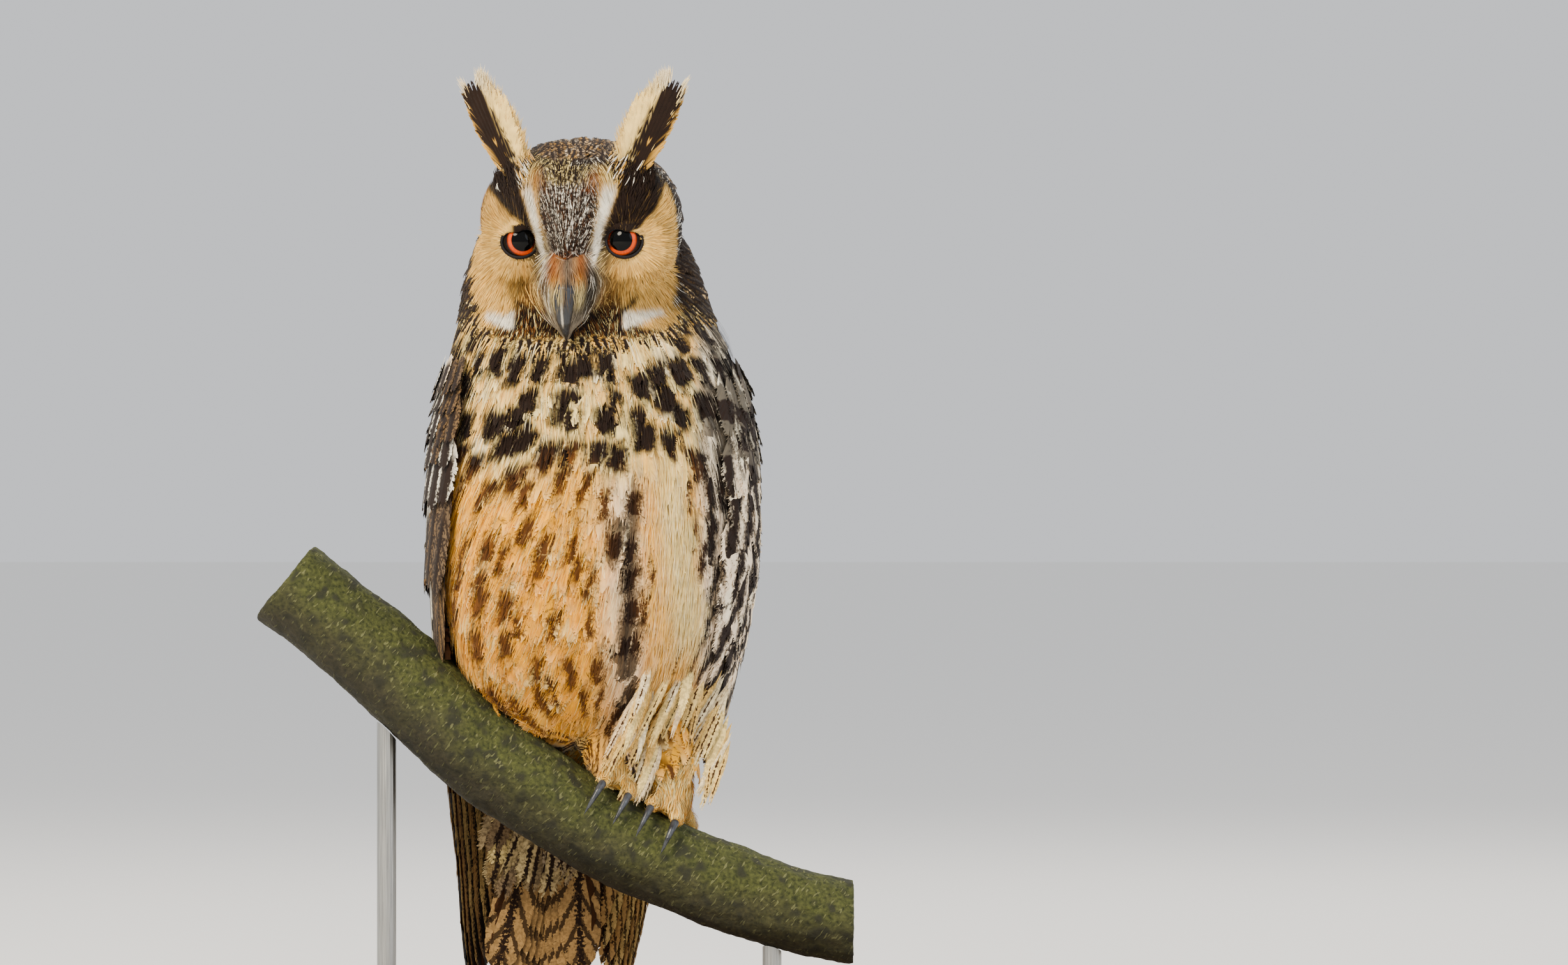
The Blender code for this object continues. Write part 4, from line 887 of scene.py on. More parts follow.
def crownLooks(p, chance):
    x, y, z = p.T / mm
    every = np.ones((len(p), 1))
    level = toHead(p)
    tint = blend(dye["buff"] * every, dye["white"], 0.7 * chance[:, 0])
    tint = blend(tint, dye["brown"], 0.3 + 0.5 * chance[:, 1])
    nape = fade(-12, -28, level[:, 2]) * fade(0, 15, level[:, 1])
    tint = blend(tint, dye["buff"], 0.5 * nape)
    neck = fade(332, 322, z) * fade(12, -6, y)
    tint = blend(tint, blend(dye["cream"] * every, dye["buff"], chance[:, 0]), neck)
    side = fade(28, 34, np.abs(x + 5)) * fade(24, 8, y) * fade(372, 362, z) * fade(314, 320, z)
    tint = blend(tint, dye["dark"], 0.92 * side * (chance[:, 2] < 0.9))
    return looksOf(vary(tint, 0.08, chance[:, 2]), dye["dark"] * every, 0.35 + 0.1 * neck, 0.6 * (1 - neck), 0.9, 3.0)


# Making the owl

print("skin")
vaneKeratin = plumageMaterial("keratinVanes", False)
softKeratin = plumageMaterial("softVanes", True)
skin = makeSkin()
skinTree = treeOf(skin)


def discShare(p):  # 1 inside the facial disc as seen from the front, 0 outside
    x, y, z = p.T / mm
    level = toHead(p)
    right = level[:, 0] > 0
    ex = np.where(right, eyeSpots[1][0], eyeSpots[-1][0])
    outwards = np.where(right, x - ex, ex - x)
    wide = np.where(right, 21.5, 16.8)
    tall = np.where(z > 345, 33.0, 34.5)
    far = (np.maximum(outwards, 0) / wide) ** 3 + (np.abs(z - 345) / tall) ** 3
    return fade(1.08, 0.92, far ** (1 / 3))


def zoneOf(p):
    x, y, z = p.T / mm
    level = toHead(p)
    body = toBody(p) / mm
    lowest = np.where(y < -8, 304 + 0.0045 * (x + 9) ** 2, 317)
    lowest = lowest + (317 - lowest) * fade(-24, -6, y)
    head = z > lowest
    face = head & (level[:, 1] < -3) & (discShare(p) > 0.3)
    turn = np.degrees(np.arctan2(body[:, 0], -body[:, 1]))
    foot = (z < 150) & (y < 24)
    return head, face, turn, foot


def eyeDistance(p):  # how far a place is from the nearer eye's middle, in millimetres
    centres = fromHead(np.array([(side * owl["eye"][0], owl["eye"][1], owl["eye"][2]) for side in (-1, 1)]))
    return np.min([np.linalg.norm(p - centre, axis=1) for centre in centres], axis=0) / mm


bodyFeathers = {"spacing": 6.4 * mm, "length": 27 * mm, "width": 5.8 * mm, "lift": 4.4 * mm, "barbs": 24}


def lieOf(p, scatterBy):  # the way the body feathers point
    x, y, z = p.T / mm
    slant = slantOf(x) * fade(282, 250, z) * fade(30, 0, y)
    return np.stack((-slant + rng.normal(size=len(x)) * scatterBy, np.zeros_like(x), -np.ones_like(x)), axis=1)


def makeBodyFeathers():
    def spacingOf(p):
        head, face, turn, foot = zoneOf(p)
        return np.where(head | foot, 0.0, 0.55 + 0.45 * fade(304, 276, p[:, 2] / mm))

    roots = scatter(skin, spacingOf, bodyFeathers["spacing"])
    z = roots[:, 2] / mm
    size = rng.uniform(0.85, 1.15, len(z)) * (0.55 + 0.5 * fade(304, 272, z))
    line, normal = layOnSkin(skinTree, roots, lieOf(roots, 0.09), bodyFeathers["length"] * size,
                             bodyFeathers["lift"] * rng.uniform(0.75, 1.05, len(z)))
    turn = zoneOf(roots)[2]
    pieces = (
        ("breast_feathers", (z > 236) & (np.abs(turn) < 90), softKeratin),
        ("belly_feathers", (z <= 236) & (np.abs(turn) < 90), softKeratin),
        ("mantle_feathers", (z > 236) & (np.abs(turn) >= 90), vaneKeratin),
        ("rump_feathers", (z <= 236) & (np.abs(turn) >= 90), vaneKeratin),
    )
    for name, chosen, material in pieces:
        looks = bodyLooks
        if material is vaneKeratin:
            looks = bodyLooks(roots[chosen] + (line[chosen, -1] - roots[chosen]) * 0.6, rng.random((chosen.sum(), 3)))
        piece = vanePiece(name, line[chosen], normal[chosen], bodyFeathers["width"] * size[chosen], looks,
                          barbs=bodyFeathers["barbs"], fray=1.3, sweep=0.30, gap=0.6, closed=0.82)
        finishPiece(piece, material)
        print(name, len(piece.data.polygons) * 2)


looseBarbs = {"spacing": 1.9 * mm, "length": (9, 17), "halfWidth": (0.14, 0.30)}


def barbLooks(p, chance):
    looks = bodyLooks(p, chance)
    looks["tint"] = blend(looks["tint"], dye["white"], 0.25 * silkShare(p) * (chance[:, 0] < 0.3))
    return looks


def makeLooseBarbs():  # loose barbs over the vanes of breast and belly, longest on the silky patch
    def spacingOf(p):
        head, face, turn, foot = zoneOf(p)
        return np.where(head | foot | (np.abs(turn) > 92), 0.0, 1.0 - 0.5 * silkShare(p))

    roots = scatter(skin, spacingOf, looseBarbs["spacing"])
    count = len(roots)
    long = rng.uniform(*looseBarbs["length"], count) * (1 + 0.3 * silkShare(roots))
    line, normal = layOnSkin(skinTree, roots, lieOf(roots, 0.12), long * mm, rng.uniform(4.4, 5.4, count) * mm)
    line += normal * (1.2 * mm * np.linspace(1, 0, lineSteps + 1))[None, :, None]
    piece = strandPiece("loose_barbs", line, normal, rng.uniform(*looseBarbs["halfWidth"], count) * mm, barbLooks,
                        settle=0.8)
    finishPiece(piece, softKeratin)
    print("loose_barbs", count)


thigh = {"count": 90, "across": (16, 58), "heights": (140, 176), "length": (24, 36), "halfWidth": (1.6, 2.6)}


def makeThighFeathers():  # long loose feathers that hang over the left thigh, cream with dark shafts
    count = thigh["count"]
    t = np.linspace(0, 1, lineSteps + 1)
    x, z = rng.uniform(*thigh["across"], count) * mm, rng.uniform(*thigh["heights"], count) * mm
    long = rng.uniform(*thigh["length"], count) * mm
    roots = []
    for place in zip(x, z):
        hit, _, _, _ = skinTree.ray_cast(Vector((place[0], -0.2, place[1])), Vector((0, 1, 0)))
        roots.append(hit.y if hit else 0.0)
    swing = rng.normal(size=count) * 0.12 - 0.45
    lift = (2 + 3.5 * t**0.7) * rng.uniform(0.7, 1.2, (count, 1)) * mm
    line = np.stack((x[:, None] + (swing * long)[:, None] * t, np.array(roots)[:, None] - lift,
                     z[:, None] - long[:, None] * t), axis=-1)
    normal = np.broadcast_to((0.0, -1.0, 0.0), line.shape)
    every = np.ones((count, 1))
    tint = blend(dye["buff"] * every, dye["cream"], 0.2 + 0.8 * rng.random(count))
    tint = blend(tint, dye["white"], 0.4 * (rng.random(count) < 0.2))
    look = looksOf(vary(tint, 0.06), dye["brown"] * every, 0.10 * (rng.random(count) < 0.7), 0.0, 0.35)
    piece = vanePiece("thigh_feathers", line, normal, rng.uniform(*thigh["halfWidth"], count) * mm, look, barbs=20,
                      outline="pointed", fray=1.4, sweep=0.3, gap=0.6)
    finishPiece(piece, vaneKeratin)


legBarbs = {"spacing": 1.0 * mm, "length": (3.5, 6), "halfWidth": (0.18, 0.34),
            "heels": ((8, 10, 140), (30.5, 10, 129))}  # the toes' barbs point away from the heels


def legLooks(p, chance):
    x, y, z = p.T / mm
    every = np.ones((len(p), 1))
    tint = blend(dye["cream"] * every, dye["buff"], fade(0.3, 0.9, chance[:, 0]))
    tint = blend(tint, dye["gold"], 0.6 * (chance[:, 1] < 0.3))
    return looksOf(vary(tint, 0.06, chance[:, 2]), dye["dark"] * every, 0.0, 0.0, 0.0)


def makeLegBarbs():
    def spacingOf(p):
        return np.where(zoneOf(p)[3], 1.0, 0.0)

    roots = scatter(skin, spacingOf, legBarbs["spacing"])
    count = len(roots)
    heels = np.array(legBarbs["heels"]) * mm
    heel = np.where(roots[:, :1] < 20 * mm, heels[0], heels[1])
    away = unit(roots - heel) * (0.6, 1.2, 1) + (0, 0, -0.6) + rng.normal(size=(count, 3)) * 0.08
    line, normal = layOnSkin(skinTree, roots, away, rng.uniform(*legBarbs["length"], count) * mm,
                             rng.uniform(0.7, 1.8, count) * mm)
    piece = strandPiece("leg_barbs", line, normal, rng.uniform(*legBarbs["halfWidth"], count) * mm, legLooks)
    finishPiece(piece, vaneKeratin)
    print("leg_barbs", count)


faceBristles = {"spacing": 0.60 * mm, "length": (6, 12), "halfWidth": (0.14, 0.24), "lift": (0.9, 1.9)}
crownFeathers = {"spacing": 2.8 * mm, "length": (9, 13), "halfWidth": (1.9, 2.6), "lift": (1.8, 2.8), "barbs": 9}


def makeHeadFeathers():
    def faceSpacing(p):
        head, face, _, _ = zoneOf(p)
        return np.where(face & (eyeDistance(p) > 8.9), 1.0, 0.0)

    def crownSpacing(p):
        head, face, _, _ = zoneOf(p)
        return np.where(head & ~face, 1.0, 0.0)

    roots = scatter(skin, faceSpacing, faceBristles["spacing"])
    count = len(roots)
    x, y, z = roots.T / mm
    level = toHead(roots)
    lies = headDirection(roots) + rng.normal(size=roots.shape) * 0.10
    far = np.minimum(np.hypot(x - eyeSpots[1][0], z - eyeSpots[1][1]), np.hypot(x - eyeSpots[-1][0], z - eyeSpots[-1][1]))
    size = 0.55 + 0.45 * fade(8, 20, far)
    size = size * (1 - 0.35 * fade(12, 8, np.abs(x + 9.5)) * fade(338, 345, z))
    size = size * (1 - 0.45 * fade(319, 314, z))
    length = rng.uniform(*faceBristles["length"], count) * size * mm
    line, normal = layOnSkin(skinTree, roots, lies, length, rng.uniform(*faceBristles["lift"], count) * size * mm)
    width = rng.uniform(*faceBristles["halfWidth"], count) * mm
    for name, chosen in (("face_bristles_right", level[:, 0] < 0), ("face_bristles_left", level[:, 0] >= 0)):
        piece = strandPiece(name, line[chosen], normal[chosen], width[chosen], faceLooks, settle=0.75)
        finishPiece(piece, vaneKeratin)
        print(name, len(piece.data.polygons))
    roots = scatter(skin, crownSpacing, crownFeathers["spacing"])
    count = len(roots)
    lies = headDirection(roots) + rng.normal(size=roots.shape) * 0.08
    line, normal = layOnSkin(skinTree, roots, lies, rng.uniform(*crownFeathers["length"], count) * mm,
                             rng.uniform(*crownFeathers["lift"], count) * mm)
    looks = crownLooks(roots + (line[:, -1] - roots) * 0.5, rng.random((count, 3)))
    piece = vanePiece("crown_feathers", line, normal, rng.uniform(*crownFeathers["halfWidth"], count) * mm, looks,
                      barbs=crownFeathers["barbs"], fray=1.2, sweep=0.3, gap=0.8)
    finishPiece(piece, vaneKeratin)
    print("crown_feathers", count)


billBristles = {
    "count": 4200,
    "ridge": ((-33, 0), (-41, -2), (-48, -6.5), (-53.6, -13), (-55.8, -20), (-55.6, -26), (-53.2, -31), (-50.5, -34.5)),
    "reachAt": (305, 309, 313.5, 320, 328, 332, 338, 342),  # height, and half the wedge's breadth there
    "reach": (0.5, 2.5, 7.6, 12.5, 17.0, 16.5, 12.5, 9.0),
}


def billLooks(p, chance):
    x, y, z = p.T / mm
    every = np.ones((len(p), 1))
    off = x + 9.8
    mid = np.abs(off)
    tint = blend(dye["ash"] * every, dye["dark"], 0.75 * chance[:, 0])
    tint = blend(tint, dye["white"], 0.7 * (chance[:, 1] > 0.75) * fade(5, 9, mid))
    tint = blend(tint, dye["cream"], 0.85 * hill(mid, 4.8, 2.0) * fade(319, 324, z) * (chance[:, 1] > 0.2))
    tint = blend(tint, dye["rust"], 0.9 * hill(mid, 5.0, 3.2) * fade(329, 333, z))
    tint = blend(tint, dye["orange"], 0.6 * hill(mid, 4.5, 2.4) * hill(z, 331.5, 2.5) * (chance[:, 2] < 0.7))
    tint = blend(tint, dye["brown"], 0.6 * fade(2.4, 1.0, mid) * fade(333, 328, z))
    tint = blend(tint, dye["black"], 0.85 * hill(off, 9.5, 3.2) * fade(316, 322, z) * (chance[:, 1] < 0.9))
    tint = blend(tint, dye["brown"], 0.6 * hill(off, -12.0, 4.0) * fade(320, 328, z) * (chance[:, 1] < 0.7))
    tint = blend(tint, dye["ash"], 0.4 * fade(318, 312, z))
    reach = np.interp(z, billBristles["reachAt"], billBristles["reach"]) * np.where(off < 0, 0.85, 1.0)
    tint = blend(tint, faceLooks(p, chance)["tint"], fade(0.62, 0.95, mid / reach) * fade(314, 320, z))
    return looksOf(vary(tint, 0.08, chance[:, 2]), dye["dark"] * every, 0.0, 0.0, 0.0)


def makeBillBristles():  # they flow from between the eyes, over the sides of the bill, towards its tip
    ridge = fromHead([(0, y, z) for y, z in billBristles["ridge"]])
    stations = np.linspace(0, 1, len(ridge))
    count = billBristles["count"]
    side = rng.choice((-1, 1), count)
    across = side * rng.uniform(0, 0.92, count) ** 0.8
    start = rng.uniform(0, 0.72, count)
    span = rng.uniform(0.16, 0.30, count)
    keep = ~((np.abs(across) < 0.42) & (start + span > 0.58 + 0.25 * np.abs(across)))
    keep &= rng.random(count) > 1.6 * (np.abs(across) - 0.55)  # fewer towards the cheeks
    across, start, span = across[keep], start[keep], span[keep]
    count = len(across)
    t = np.linspace(0, 1, lineSteps + 1)
    at = start[:, None] + span[:, None] * t
    middle = np.stack([np.interp(at, stations, ridge[:, k]) for k in range(3)], axis=-1)
    reach = np.interp(middle[..., 2] / mm, billBristles["reachAt"], billBristles["reach"]) * mm
    line = middle.copy()
    reach = reach * (1 + rng.normal(size=(count, 1)) * 0.14) * np.where(across < 0, 0.85, 1.0)[:, None]
    drift = rng.normal(size=(count, 1)) * 0.10 * t + 0.10 * np.sign(across)[:, None] * t * (np.abs(across)[:, None] > 0.6)
    line[..., 0] += (across[:, None] + drift) * reach
    line[..., 2] += np.abs(across[:, None]) ** 2 * 1.5 * mm
    lift = rng.uniform(0.2, 1.8, count) * (1 - 0.6 * np.abs(across))
    lift = lift[:, None] * (-0.5 + 1.5 * t**0.6) * mm
    for i in range(count):
        for k in range(lineSteps + 1):
            hit, _, _, _ = skinTree.ray_cast(Vector((line[i, k, 0], -0.2, line[i, k, 2])), Vector((0, 1, 0)))
            cheek = hit.y if hit else line[i, k, 1]
            share = abs(across[i]) ** 1.2
            line[i, k, 1] += (max(cheek, line[i, k, 1]) - line[i, k, 1]) * share - lift[i, k]
    normal = unit(np.stack((across[:, None] * np.ones_like(t) * 0.7, -np.ones_like(at), 0.1 * np.ones_like(at)), axis=-1))
    piece = strandPiece("bill_bristles", line, normal, rng.uniform(0.11, 0.20, count) * mm, billLooks, settle=0.8)
    finishPiece(piece, vaneKeratin)
    print("bill_bristles", count)


def dressSkin():
    points = pointsOf(skin)
    head, face, turn, foot = zoneOf(points)
    chance = np.full((len(points), 3), 0.5)
    looks = bodyLooks(points, chance)
    for chosen, other in ((face, faceLooks), (head & ~face, crownLooks), (foot, legLooks)):
        chosenLooks = other(points, chance)
        for key, values in chosenLooks.items():
            looks[key] = np.where(chosen[:, None], values, looks[key])
    dress(skin, spotPlace(points), looks, points, 1)
    finishPiece(skin, downMaterial("skinDownShade", True), fleshNodes)


dressSkin()
print("body feathers")
makeBodyFeathers()
makeLooseBarbs()
makeThighFeathers()
makeLegBarbs()
print("head feathers")
makeHeadFeathers()
makeBillBristles()


# Folded wings

wings = {"edgeHeights": (306, 262, 208, 172, 140), "front": (84, 80, 90, 100, 110), "back": (150, 158, 166, 168, 168),
         "rightForward": 20, "whiteColumn": 0.30, "bedDepth": 1.7}
wingTiers = (
    # root height, length, lift at root and tip, half width, rows and count, streak, bars, mottle
    (300, 18, 1.2, 6.0, 4.2, 3, 13, 0.40, 0.2, 0.9),
    (284, 24, 3.2, 6.0, 5.0, 2, 11, 0.40, 0.3, 0.9),
    (266, 32, 3.2, 5.8, 6.0, 1, 10, 0.35, 0.4, 0.9),
    (248, 50, 3.0, 5.4, 7.0, 1, 10, 0.30, 0.5, 0.9),
    (222, 95, 2.4, 4.6, 8.0, 1, 10, 0.12, 0.9, 0.6),
)


def foldedLines(root, tip, side, lifts, curve=1.0):  # root and tip: heights and angles, on the folded wing
    t = np.linspace(0, 1, lineSteps + 1)
    height = root[0][:, None] + (tip[0] - root[0])[:, None] * t
    angle = root[1][:, None] + (tip[1] - root[1])[:, None] * t**curve
    lift = lifts[0][:, None] + (lifts[1] - lifts[0])[:, None] * t
    line = foldedPoint(height, side * angle, lift)
    normal = unit(foldedPoint(height, side * angle, lift + 2) - line)
    return line, normal


flank = {"count": 280, "heights": (150, 300), "angles": (48, 97), "lifts": (2.0, 5.0)}


def makeFlankFeathers():  # they lie over the front edge of the left wing
    count = flank["count"]
    height, angle = rng.uniform(*flank["heights"], count), np.radians(rng.uniform(*flank["angles"], count))
    length = bodyFeathers["length"] / mm * rng.uniform(0.8, 1.1, count)
    near = fade(50, 72, np.degrees(angle))
    lifts = (flank["lifts"][0] * (0.3 + 0.7 * near), flank["lifts"][1] * (0.6 + 0.4 * near) + rng.uniform(-0.6, 0.4, count))
    line, normal = foldedLines((height, angle), (height - length, angle + rng.normal(size=count) * 0.02), 1, lifts)
    piece = vanePiece("flank_feathers", line, normal, np.full(count, bodyFeathers["width"]), bodyLooks,
                      barbs=bodyFeathers["barbs"], fray=1.3, sweep=0.30, gap=0.6, closed=0.82)
    finishPiece(piece, softKeratin)
    print("flank_feathers", count)


def makeWing(name, side):
    bed = copyOfNodes(f"wing_{name}_down", (f"wing_{name}",))
    useModifier(bed, "REMESH", mode="VOXEL", voxel_size=1.4 * mm)
    useModifier(bed, "SMOOTH", factor=0.5, iterations=3)
    movePoints(bed, pointsOf(bed) - normalsOf(bed) * wings["bedDepth"] * mm)
    # the bed's dark brown is painted shade where it shows between the coverts
    tint = bed.data.attributes.new("tint", "FLOAT_COLOR", "POINT")
    tint.data.foreach_set("color", np.tile(dye["brown"], len(bed.data.vertices)))
    finishPiece(bed, vaneDown, (f"wing_{name}",))
    if name == "left":
        makeFlankFeathers()
    lines, normals, widths, looks = [], [], [], []
    forward = wings["rightForward"] if name == "right" else 0
    for top, length, low, high, half, rows, count, streak, bars, mottle in wingTiers:
        for row in range(rows):
            share = (np.arange(count) + 0.5 + 0.3 * (row % 2)) / count
            start = top - row * 8 + rng.uniform(-2, 2, count)
            end = start - length * (1 - 0.16 * np.abs(share - 0.55) + rng.uniform(-0.05, 0.05, count))
            angles = []
            for height in (start, end):
                front = np.interp(-height, [-h for h in wings["edgeHeights"]], wings["front"]) - forward
                back = np.interp(-height, [-h for h in wings["edgeHeights"]], wings["back"])
                angles.append(np.radians(front + (back - front) * (0.02 + 0.96 * share)))
            lift = (np.full(count, low), high + rng.uniform(-0.3, 0.3, count))
            line, normal = foldedLines((start, angles[0]), (end, angles[1]), side, lift)
            lines.append(line)
            normals.append(normal)
            widths.append(half * rng.uniform(0.92, 1.08, count) * mm)
            every = np.ones((count, 1))
            chance = rng.random(count)
            edge = (np.abs(share - wings["whiteColumn"]) < 0.10) & (name == "right")
            spotted = ((chance < 0.22) & (length < 60)) | edge
            chance = np.where(edge, 0.1, chance)
            tint = blend(dye["grey"] * every, dye["buff"], 0.6 * rng.random(count))
            tint = blend(tint, dye["brown"], 0.8 if name == "right" else 0.5)
            tint = blend(tint, blend(dye["white"] * every, dye["buff"], fade(0.15, 0.25, chance)), spotted * 1.0)
            if name == "left":
                tint = blend(tint, dye["white"], 0.7 * fade(0.5, 0.15, share))
            looks.append(looksOf(vary(tint, 0.06), dye["dark"] * every, streak + 0.35 * spotted, bars * ~spotted,
                                 mottle * (1 - 0.6 * spotted), length / 14 + 2))
    stacked = {key: np.concatenate([look[key] for look in looks]) for key in looks[0]}
    piece = vanePiece(f"wing_{name}_coverts", np.concatenate(lines), np.concatenate(normals), np.concatenate(widths),
                      stacked, barbs=16, sweep=0.12, cup=0.12, fray=0.7, gap=0.12)
    finishPiece(piece, vaneKeratin)
    count = 7
    share = np.arange(count) / (count - 1)
    root = (np.full(count, 196.0), np.radians(122 + 26 * share))
    tip = (28 + 26 * np.abs(share - 0.25) ** 1.3 * 1.6, np.radians(101 + 40 * share))
    line, normal = foldedLines(root, tip, side, (1.4 - 2.6 * share, 1.7 - 1.2 * 6 / 6 * share * 6), 0.7)
    every = np.ones((count, 1))
    tint = blend(blend(dye["buff"] * every, dye["grey"], 0.5), dye["cream"], (np.arange(count) % 2) * 0.6)
    stripes = (0.55, 0.25) if name == "right" else (0.1, 0.7)  # dark shafts or dark bars
    look = looksOf(vary(tint, 0.06), dye["dark"] * every, *stripes, 0.2, 10.0)
    piece = vanePiece(f"wing_{name}_primaries", line, normal, np.full(count, 9.2 * mm), look, barbs=46,
                      outline="flight", sweep=0.06, cup=0.08, fray=0.25, gap=0.05)
    finishPiece(piece, vaneKeratin)


print("wings")
vaneDown = downMaterial()
makeWing("right", -1)
makeWing("left", 1)


# Tail

tail = {"pairs": 6, "tip": 34, "top": 116, "step": 1.45, "lean": 0.10, "halfWidth": 9.2, "coverts": 46}


def makeTail():
    bed = copyOfNodes("tail_down", ("tail",))
    useModifier(bed, "REMESH", mode="VOXEL", voxel_size=1.4 * mm)
    useModifier(bed, "SMOOTH", factor=0.5, iterations=3)
    movePoints(bed, pointsOf(bed) - normalsOf(bed) * 1.5 * mm)
    # the bed's dark brown is painted shade where it shows between the tail feathers
    tint = bed.data.attributes.new("tint", "FLOAT_COLOR", "POINT")
    tint.data.foreach_set("color", np.tile(dye["brown"], len(bed.data.vertices)))
    finishPiece(bed, vaneDown, ("tail",))
    lines, normals = [], []
    t = np.linspace(0, 1, lineSteps + 1)
    for pair in range(tail["pairs"]):
        for side in (-1, 1):
            share = pair / (tail["pairs"] - 1)
            layer = pair + (1 if pair or side < 0 else 0)
            lift = 1.5 - tail["step"] * layer
            tip = tail["tip"] + 8 * share**2
            height = tail["top"] + (tip - tail["top"]) * t
            across = side * (1.5 + 6 * share) + side * (3 - 1.5 + 9 * share) * t
            depth = -11 + 0.45 * lift + (lift + 11 - 0.45 * lift) * np.sqrt(t)
            x = -6 - tail["lean"] * (140 - height) + across
            for face in (-1, 1):  # one vane for the upper face and one for the lower
                lines.append(np.stack((x, 56 + depth + 0.5 * face - 0.6, height), axis=1) * mm @ bodyTurn.T)
                normals.append(np.tile(bodyTurn @ np.array((0, face * 1.0, 0)), (lineSteps + 1, 1)))
    line, normal = np.array(lines), np.array(normals)
    every = np.ones((len(line), 1))
    look = looksOf(vary(blend(blend(dye["buff"] * every, dye["grey"], 0.5), dye["brown"], 0.5), 0.06), dye["dark"] * every, 0.15, 0.7, 0.3, 6.0)
    piece = vanePiece("tail_feathers", line, normal, np.full(len(line), tail["halfWidth"] * mm), look, barbs=30,
                      outline="flight", sweep=0.08, cup=0.05, fray=0.25, gap=0.05)
    finishPiece(piece, vaneKeratin)
    count = tail["coverts"]
    x = rng.uniform(-34, 2, count)
    top = rng.uniform(100, 128, count)
    long = rng.uniform(22, 34, count)
    height = top[:, None] - long[:, None] * t
    across = x[:, None] * (1 + 0.1 * t) - 0.1 * (124 - height) + rng.normal(size=(count, 1)) * 2 * t
    depth = 29 + 0.22 * (124 - height) + rng.uniform(-2, 1.5, count)[:, None]
    line = np.stack((across, depth, height), axis=-1) * mm @ bodyTurn.T
    normal = np.broadcast_to(bodyTurn @ np.array((0, -1.0, 0)), line.shape)
    every = np.ones((count, 1))
    tint = blend(blend(dye["grey"] * every, dye["cream"], rng.random(count)), dye["brown"], 0.2 + 0.7 * rng.random(count))
    look = looksOf(vary(tint, 0.08), dye["dark"] * every, 0.2, 0.0, 0.5)
    piece = vanePiece("undertail_coverts", line, normal, rng.uniform(3.5, 5.5, count) * mm, look, barbs=20, fray=1.4,
                      sweep=0.3, gap=0.6)
    finishPiece(piece, vaneKeratin)
    x = rng.uniform(-24, 12, count)
    height = rng.uniform(122, 142, count)[:, None] - long[:, None] * t
    across = x[:, None] - 0.1 * (140 - height)
    depth = (53.5 + 2.5 * np.sin(np.pi * t))[None, :] + rng.uniform(0, 1.5, count)[:, None]
    line = np.stack((across, depth, height), axis=-1) * mm @ bodyTurn.T
    normal = np.broadcast_to(bodyTurn @ np.array((0, 1.0, 0)), line.shape)
    tint = blend(blend(dye["buff"] * every, dye["grey"], rng.random(count)), dye["brown"], 0.4)
    look = looksOf(vary(tint, 0.08), dye["dark"] * every, 0.35, 0.4, 0.85, 4.0)
    piece = vanePiece("uppertail_coverts", line, normal, rng.uniform(4.5, 6, count) * mm, look, barbs=20, fray=1.0,
                      sweep=0.25, gap=0.4)
    finishPiece(piece, vaneKeratin)


print("tail")
makeTail()


# Ear tufts

tufts = {"length": 44, "feathers": 9, "halfWidth": 3.6, "fringe": 1500}


